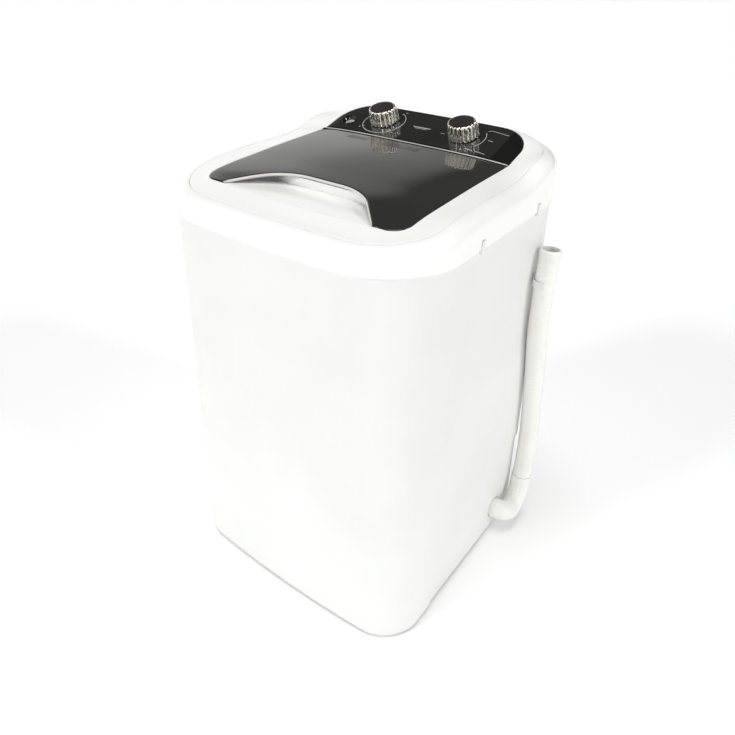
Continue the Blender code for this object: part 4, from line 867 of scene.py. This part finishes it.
# %% [markdown]
# ## Control panel
#
# The panel is the same kind of plate. A charcoal film lies on it and leaves a gloss border. A
# funnel and a nozzle, each a short profile turned round the inlet's line, fill the inlet's hole.

# %% Control panel
turn = np.linspace(0, math.pi / 2, 30)
rear_arc = np.stack([PANEL_HALF - PANEL_REAR_RADIUS * (1 - np.sin(turn)),
                     PANEL_REAR - PANEL_REAR_RADIUS * (1 - np.cos(turn))], 1)
rear_chain = np.vstack([np.stack([np.linspace(0, rear_arc[0, 0], 50)[:-1],
                                  np.full(49, PANEL_REAR)], 1), rear_arc])
rear_chain = np.vstack([rear_chain[:0:-1] * (-1, 1), rear_chain])
front_line = np.stack([rear_chain[:, 0], np.full(len(rear_chain), CONSOLE_FRONT)], 1)
panel_outline = np.vstack([rear_chain, [[PANEL_HALF, CONSOLE_FRONT],
                                        [-PANEL_HALF, CONSOLE_FRONT]]])
shares = packed_steps(26, [0, 0.002, 0.006, 0.012, 0.021])
panel_flat = front_line[None] + (rear_chain - front_line)[None] * shares[:, None, None]
panel = plate("control_panel_skin", panel_flat, panel_outline, PANEL_THICK, EDGE_ROUND,
              PANEL_ABS)
cut(panel, panel_holes(), sharp=40)
on_body(panel, "machine", "panel_black", "control_panel")

FILM_FRONT, FILM_BORDER, FILM_THICK = 92 * MM, 3 * MM, 0.06 * MM
film_x, film_y = np.meshgrid(np.linspace(-134, 112, 90) * MM, np.linspace(0, 1, 24))
bend = np.maximum(abs(film_x) - (PANEL_HALF - PANEL_REAR_RADIUS), 0)
rear_edge = (PANEL_REAR - FILM_BORDER - PANEL_REAR_RADIUS
             + np.sqrt(PANEL_REAR_RADIUS ** 2 - bend ** 2))
film_y = FILM_FRONT + (rear_edge - FILM_FRONT) * film_y
film_flat = np.stack([film_x, film_y], -1)
film_outline = np.vstack([film_flat[0], film_flat[1:-1, -1], film_flat[-1, ::-1],
                          film_flat[-2:0:-1, 0]])
film = plate("panel_film", film_flat, film_outline, FILM_THICK, FILM_THICK / 2, PANEL_FILM, 60)
cut(place(film, Matrix.Translation((0, 0, FILM_THICK / 2))),
    [plug(INLET_RADIUS + 0.4 * MM, -5 * MM, 5 * MM, INLET, 64)])
on_body(film, "machine", "panel_black")


def turned(name, profile, matrix, skin, sides=64, sharp=35):
    """A closed turned piece: a loop of (radius, height) points in mm spun about the matrix's Z."""
    profile = np.asarray(profile, float) * MM
    turn = full_turn(sides)
    rings = np.stack([profile[:, :1] * np.cos(turn), profile[:, :1] * np.sin(turn),
                      np.broadcast_to(profile[:, 1:], (len(profile), sides))], -1)
    return place(ring_skin(name, rings, skin, sharp), matrix)


# A black funnel lines the inlet's mouth, and the pale nozzle shows through it.
on_body(turned("inlet_funnel", [(10.9, -0.1), (10.6, 0.25), (10.2, 0.25), (9.9, -0.1), (9.3, -1.2),
                                (7.4, -3.6), (7.2, -4.1), (8.9, -4.1), (9.2, -1.6), (10.9, -0.9)],
               INLET, PANEL_ABS), "machine", "panel_black")
on_body(turned("inlet_nozzle", [(6.9, -5.2), (6.6, -4.6), (6.0, -4.6), (5.6, -5.4), (5.5, -15),
                                (9.2, -15), (9.2, -14), (6.9, -13.2)], INLET, TUB_PP),
        "machine", "tub_grey")

# %% [markdown]
# ## Dials
#
# Each dial is a chrome plated moulding with a fluted wall, a scalloped rim, a black film in its
# dished top and a tall pointer fin. The wall is one grid: the height goes up it and the angle
# goes round it, and the radius is the profile's plus a wave whose depth fades out at both ends.

# %% Dials
KNOB_RADIUS, CAP_RADIUS, FLUTES = 19 * MM, 15.1 * MM, 20


def knob_mesh(name, matrix):
    """Radius: the profile's, plus depth times a rounded square wave of FLUTES turns, plus fin."""
    turn = full_turn(FLUTES * 28)
    wave = np.tanh(1.1 * np.cos(FLUTES * turn)) / math.tanh(1.1)
    off = np.angle(np.exp(1j * turn))
    fin = np.clip(1.35 - abs(off) * KNOB_RADIUS / (1.0 * MM), 0, 1) ** 0.5
    profile = np.array([  # height, radius, flute depth, fin reach, in mm
        (0.5, 14.9, 0, 0), (0.5, 17.6, 0.1, 0.4), (0.7, 18.2, 0.35, 1.8), (1.3, 18.5, 0.7, 2.4),
        (3, 18.5, 0.85, 2.6), (8, 18.2, 0.85, 2.6), (13, 17.9, 0.85, 2.6), (17, 17.7, 0.8, 2.6),
        (18.6, 17.6, 0.7, 2.5), (19.4, 17.5, 0.6, 2.3), (20.2, 17.2, 0.45, 1.7),
        (20.75, 16.7, 0.3, 0.8), (21, 16.1, 0.15, 0.2), (21, 15.6, 0, 0), (20.8, 15.35, 0, 0),
        (20.2, 15.3, 0, 0), (19.4, 15.3, 0, 0), (19.4, 14, 0, 0), (17.4, 14, 0, 0),
        (17.4, 13, 0, 0), (15.5, 14.9, 0, 0)])
    z, radius, depth, reach = (profile[:, i, None] * MM for i in range(4))
    spread = radius + depth * (wave - 0.3)[None] + reach * fin[None]
    rings = np.stack([spread * np.cos(turn), spread * np.sin(turn),
                      np.broadcast_to(z, spread.shape)], -1)
    return place(ring_skin(name, rings, CHROME, 38), matrix)


BOSS = [(3.3, 0.8), (6, 0.8), (6, 17.2), (14.2, 17.2), (14.2, 19), (3.3, 19)]
# The cap's face is turned in rings so faint that they only shimmer: the height is 20.5 mm plus
# 0.012 mm times the cosine of a turn for every 1.2 mm of radius.
cap_edge = CAP_RADIUS / MM
radii = np.linspace(0.02, cap_edge - 0.5, 26)
CAP = [*zip(radii, 20.5 + 0.012 * np.cos(radii * 2 * math.pi / 1.2)), (cap_edge - 0.2, 20.42),
       (cap_edge - 0.05, 20.2), (cap_edge - 0.05, 19.7), (0.02, 19.7)]

for dial, matrix, angle in (("timer", TIMER, 20), ("selector", SELECTOR, 12)):
    seat = matrix @ Matrix.Rotation(math.radians(angle), 4, "Z")
    body = f"{dial}_dial"
    on_body(knob_mesh(body, seat), body, "chrome_trim", f"{dial}_knob")
    on_body(turned(body + "_boss", BOSS, seat, CHROME, 48, 38), body, "chrome_trim")
    on_body(turned(body + "_film", CAP, seat, CAP_ABS, 96, 30), body, "panel_black",
            f"{dial}_knob_cap")

# %% [markdown]
# ## Printing on the panel
#
# The panel's scales are pale ink. Each stroke is a real strip 0.06 mm proud, laid on the sloping
# panel: a path in the panel's own plane is given a width, and every point is lifted to the height
# of the crowned surface. Numbers are text turned to a mesh. All of the wording is left out, and
# plain strokes stand where it would be.

# %% Printed marks
INK = 0.06 * MM
normal = np.array((0.0, -math.sin(PANEL_SLOPE), math.cos(PANEL_SLOPE)))


def onto_panel(local, centre, rise):
    """Points of a dial's own plane, put on the panel and raised along its normal."""
    x = centre[0] + local[..., 0]
    y = centre[1] + local[..., 1] * math.cos(PANEL_SLOPE)
    return np.stack([x, y, deck_height(x, y)], -1) + normal * rise


def stroke(path, width):
    """A closed flat strip along a path: left and right edges, above and below the ink's face."""
    path = np.asarray(path, float) * MM
    ahead = np.gradient(path, axis=0)
    ahead /= np.linalg.norm(ahead, axis=1)[:, None]
    side = np.stack([-ahead[:, 1], ahead[:, 0]], 1) * width * MM / 2
    return path + side, path - side


def printed(name, centre, strokes):
    """One piece of ink from many strokes, each a path in mm and a width in mm."""
    points, faces = [], []
    for path, width in strokes:
        left, right_edge = stroke(path, width)
        rings = np.stack([onto_panel(left, centre, INK), onto_panel(right_edge, centre, INK),
                          onto_panel(right_edge, centre, -INK), onto_panel(left, centre, -INK)])
        rings = rings.transpose(1, 0, 2)
        first, n = sum(len(p) for p in points), len(rings)
        faces += grid_faces(n, 4, wrap_columns=True, start=first).tolist()
        faces += [[first + 3, first + 2, first + 1, first],
                  [first + 4 * n - 4 + k for k in range(4)]]
        points.append(rings.reshape(-1, 3))
    made = outward(mesh_object(name, np.vstack(points), faces, PRINT, 30))
    return on_body(made, "machine", "hose_cream")


def arc_path(radius, first, last, count=60):
    """Points of an arc between two angles in degrees."""
    angle = np.radians(np.linspace(first, last, count))
    return np.stack([radius * np.cos(angle), radius * np.sin(angle)], 1)


def line_path(x0, y0, x1, y1, count=8):
    """Even points of a straight line."""
    return np.linspace((x0, y0), (x1, y1), count)


SCALE_R, LONG_TICK_R, SHORT_TICK_R, NUMBER_R = 29.5, 26.8, 28, 34
scale = [(arc_path(SCALE_R, 118, 422, 160), 0.75)]
for k in range(16):
    angle = math.radians(122 + k * 296 / 15)
    ray = np.array((math.cos(angle), math.sin(angle)))
    inner_r = SHORT_TICK_R if k % 5 else LONG_TICK_R
    scale.append((line_path(*inner_r * ray, *SCALE_R * ray, 3), 0.6))
printed("timer_scale", TIMER_SPOT, scale)
marks = [(arc_path(SCALE_R, -32, 36), 0.75), (line_path(-31, -2, -25.5, -2.6), 0.7),
         (line_path(24, 21.5, 28, 24.5), 0.8), (line_path(27.5, 24.6, 53, 21.6), 0.75),
         (line_path(34, 2.5, 41, 1.8), 0.75), (line_path(16, -24.4, 27, -25.4), 0.75),
         (line_path(31, -25.8, 45, -27.2), 0.75)]
printed("selector_scale", SELECTOR_SPOT, marks)
EMBLEM_SPOT = np.array((-5, 124)) * MM
emblem = [(line_path(-13, 0.6, 13, 0.6), 1.5), (line_path(-9, -2.4, 9, -2.4), 0.6)]
printed("panel_emblem", EMBLEM_SPOT, emblem)


def number(text, x, y, size):
    """A printed number, its outline filled, thickened and laid on the panel."""
    curve = bpy.data.curves.new("number", "FONT")
    curve.body, curve.size, curve.extrude = text, size * MM, INK
    curve.align_x, curve.align_y = "CENTER", "CENTER"
    curve.resolution_u = 3
    holder = bpy.data.objects.new("number", curve)
    bpy.context.scene.collection.objects.link(holder)
    bpy.context.view_layer.update()
    graph = bpy.context.evaluated_depsgraph_get()
    mesh = bpy.data.meshes.new_from_object(holder.evaluated_get(graph))
    bpy.data.objects.remove(holder, do_unlink=True)
    points = np.empty(len(mesh.vertices) * 3, np.float32)
    mesh.vertices.foreach_get("co", points)
    points = points.reshape(-1, 3).astype(float)
    shifted = points[:, :2] + np.array((x, y)) * MM
    laid = onto_panel(shifted, TIMER_SPOT, 0) + points[:, 2:] * normal
    mesh.vertices.foreach_set("co", laid.astype(np.float32).ravel())
    mesh.materials.clear()
    mesh.materials.append(PRINT)
    made = bpy.data.objects.new("timer_number_" + text, mesh)
    bpy.context.scene.collection.objects.link(made)
    return on_body(made, "machine", "hose_cream")


for text, degrees in (("0", 122), ("5", 220), ("10", 319), ("15", 418)):
    angle = math.radians(degrees)
    number(text, NUMBER_R * math.cos(angle), NUMBER_R * math.sin(angle), 4.2)

# %% [markdown]
# ## Lid details
#
# A pale bead runs round the finger cut-out along the acrylic's polished edge; its pale colour is a
# painted highlight for the light that edge gathers. Two dark film patches lie near the hinge. A
# smoked barrel runs along the hinge line. All of these ride with the lid. A thin pale rod, fixed to
# the machine, lies in the joint between the barrel and the panel as a painted highlight of the
# seam.

# %% Lid details
def highlight_bead_mesh():
    """A pale rounded bead carried along the cut-out's edge, its section an ellipse 2 mm by 3 mm.
    Its pale colour is a painted highlight where the polished edge catches the light.
    """
    inside = abs(chain[:, 0]) < CUT_TIP - EDGE_ROUND
    path = chain[inside]
    path = smooth_route(np.column_stack([path, np.zeros(len(path))]), 220)[:, :2]
    ahead = np.gradient(path, axis=0)
    ahead /= np.linalg.norm(ahead, axis=1)[:, None]
    out = np.stack([ahead[:, 1], -ahead[:, 0]], 1)
    share = np.linspace(0, 1, len(path))
    taper = np.clip(np.minimum(share, 1 - share) / 0.03, 0.05, 1) ** 0.5
    turn = full_turn(20)
    sideways = 0.95 * MM * taper[:, None] * np.cos(turn)[None]
    upward = 1.55 * MM * taper[:, None] * np.sin(turn)[None]
    flat = path[:, None] + out[:, None] * (sideways + 0.35 * MM)[..., None]
    z = deck_height(path[:, 0], path[:, 1])[:, None] - 1.6 * MM + upward
    return capped_skin("lid_edge_highlight", np.concatenate([flat, z[..., None]], -1), EDGE_HIGHLIGHT_PAINT, 40)


on_body(highlight_bead_mesh(), "lid", "smoked_lid")


def rod(name, y, z, radius, half, skin):
    """A round rod along x with closed ends; z may change along it."""
    x, turn = np.linspace(-half, half, ROD_STEPS), full_turn(20)
    rings = np.stack([x[:, None] + 0 * turn, y + radius * np.cos(turn) + 0 * x[:, None],
                      np.broadcast_to(z, ROD_STEPS)[:, None] + radius * np.sin(turn)], -1)
    return capped_skin(name, rings, skin, 50)


ROD_STEPS, HIGHLIGHT_ROD_HALF = 90, 137 * MM
on_body(rod("hinge_barrel", HINGE_Y, BARREL_Z, 2.6 * MM, 137.4 * MM, SMOKED), "lid", "smoked_lid")
# The pale rod below is a painted highlight along the seam between the hinge barrel and the panel.
highlight_x = np.linspace(-HIGHLIGHT_ROD_HALF, HIGHLIGHT_ROD_HALF, ROD_STEPS)
highlight_z = deck_height(highlight_x, np.full(ROD_STEPS, 89 * MM)) - 0.55 * MM
on_body(rod("seam_highlight_rod", CONSOLE_FRONT + 0.3 * MM, highlight_z, 0.65 * MM, HIGHLIGHT_ROD_HALF, EDGE_HIGHLIGHT_PAINT),
        "machine", "hose_cream")


def patch(name, x0, x1, y0, y1):
    """A thin rectangle of film that follows the lid's crown."""
    x, y = np.meshgrid(np.linspace(x0, x1, 24) * MM, np.linspace(y0, y1, 10) * MM)
    outline = np.array([(x0, y0), (x1, y0), (x1, y1), (x0, y1)]) * MM
    made = plate(name, np.stack([x, y], -1), outline, 0.1 * MM, 0.05 * MM, CAP_ABS, 60)
    return on_body(place(made, Matrix.Translation((0, 0, 0.06 * MM))), "lid", "panel_black")


patch("lid_film_left", -84, -52, 64, 76)
patch("lid_film_right", -25, 27, 62, 75)

# %% [markdown]
# ## The pieces that keep their CAD shape
#
# Everything else shows its CAD mesh as it is, and only takes a finish. The names of the pieces
# give the finish, so one table does the whole job.

# %% Finishes for CAD pieces
FINISH_OF = {
    CABINET_ABS: "base_pan collar_latch_left_front collar_latch_left_rear collar_latch_right_front "
                 "collar_latch_right_rear hose_clip",
    ZINC: "hinge_pin_left hinge_pin_right timer_shaft selector_shaft pulsator_screw "
          "pulsator_shaft motor_pulley motor_rotor motor_bracket motor_screw_1 motor_screw_2 "
          "motor_screw_3 drain_clamp",
    RUBBER: "foot_front_left foot_front_right foot_rear_left foot_rear_right shaft_seal "
            "motor_grommet_1 motor_grommet_2 motor_grommet_3 drive_belt drain_pipe cord_gland",
    HOSE_PVC: "drain_elbow hose_end_cuff",
    TUB_PP: "wash_tub water_inlet_cup filter_guide drain_grille drain_outlet",
    PULSATOR_PP: "pulsator", NYLON: "timer_mechanism selector_switch",
    ALLOY: "bearing_housing drive_pulley run_capacitor", ENAMEL: "motor_body",
    BRONZE: "lower_bushing upper_bushing", NET: "lint_filter"}
dressed = 0
for skin, names in FINISH_OF.items():
    for name in names.split():
        mesh = frame["nodes"][name].data
        mesh.materials.clear()
        mesh.materials.append(skin)
        dressed += 1
print(dressed, "CAD pieces dressed")

# %% [markdown]
# ## Floor and light
#
# A plain pale floor with a faint glow of its own, a soft sky, and four very soft suns. The sky is
# bright low down and dim overhead. Behind the machine the dim part reaches lower towards +X, since
# the ramp is read at the height plus the direction's X plus 0.53, times its Y where that is
# positive. The dim part keeps the black panel black, because a sloping gloss face mirrors it.

# %% Floor and light
FLOOR_GLOW, FLOOR_REACH, SKY_SHIFT = 0.12, 24.0, 0.53
floor_mat, tree, shader, where = start("pale floor paint", "FFFFFF", 0.6)
shader.inputs["Emission Color"].default_value = hex_linear("FFFFFF")
shader.inputs["Emission Strength"].default_value = FLOOR_GLOW
tint(tree, shader, noise(tree, where, 1.2, 2.0), "FDFDFD", "FFFFFF")
x, y = np.meshgrid(*[np.linspace(-FLOOR_REACH, FLOOR_REACH, 9)] * 2)
floor = mesh_object("floor", np.stack([x, y, 0 * x], -1), grid_faces(9, 9), floor_mat)
floor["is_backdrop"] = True

world = bpy.data.worlds.new("studio")
bpy.context.scene.world = world
world.use_nodes = True
sky = world.node_tree
backdrop = sky.nodes["Background"]
direction = add(sky, "ShaderNodeTexCoord").outputs["Generated"]
along = add(sky, "ShaderNodeSeparateXYZ", links={"Vector": direction}).outputs
aside = add(sky, "ShaderNodeMath", {"operation": "ADD"}, {0: along["X"]})
aside.inputs[1].default_value = SKY_SHIFT
behind = add(sky, "ShaderNodeMath", {"operation": "MAXIMUM"}, {0: along["Y"]})
behind.inputs[1].default_value = 0.0
height = add(sky, "ShaderNodeMath", {"operation": "MULTIPLY_ADD"},
             {0: aside.outputs["Value"], 1: behind.outputs["Value"], 2: along["Z"]})
ramp = add(sky, "ShaderNodeValToRGB", links={"Fac": height.outputs["Value"]})
stops = ramp.color_ramp.elements
stops[0].position, stops[0].color = 0.0, hex_linear("FFFFFF")
stops[1].position, stops[1].color = 0.26, hex_linear("FFFFFF")
for position, code in ((0.33, "C8C8C8"), (0.41, "B4B4B4"), (0.47, "4A4A4A"), (1.0, "5C5C5C")):
    stop = stops.new(position)
    stop.color = hex_linear(code)
sky.links.new(ramp.outputs["Color"], backdrop.inputs["Color"])
backdrop.inputs["Strength"].default_value = 1.0


def sun(name, azimuth, elevation, strength, spread):
    """A very soft sun from a compass turn off the front and a height above the floor."""
    lamp = bpy.data.lights.new(name, "SUN")
    lamp.energy, lamp.angle = strength, math.radians(spread)
    holder = bpy.data.objects.new(name, lamp)
    bpy.context.scene.collection.objects.link(holder)
    a, e = math.radians(azimuth), math.radians(elevation)
    toward = Vector((math.sin(a) * math.cos(e), -math.cos(a) * math.cos(e), math.sin(e)))
    holder.rotation_mode = "QUATERNION"
    holder.rotation_quaternion = toward.to_track_quat("Z", "Y")
    return holder


sun("key", -25, 32, 1.0, 12)
sun("fill", 98, 30, 1.0, 12)
sun("front", 36, 24, 0.16, 5)
sun("top", -20, 86, 1.45, 30)
view = bpy.context.scene.view_settings
view.view_transform, view.look = "Standard", "None"
view.exposure, view.gamma = 0.0, 1.0

low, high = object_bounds()
print("visual box, mm:", [round((b - a) / MM, 1) for a, b in zip(low, high)])
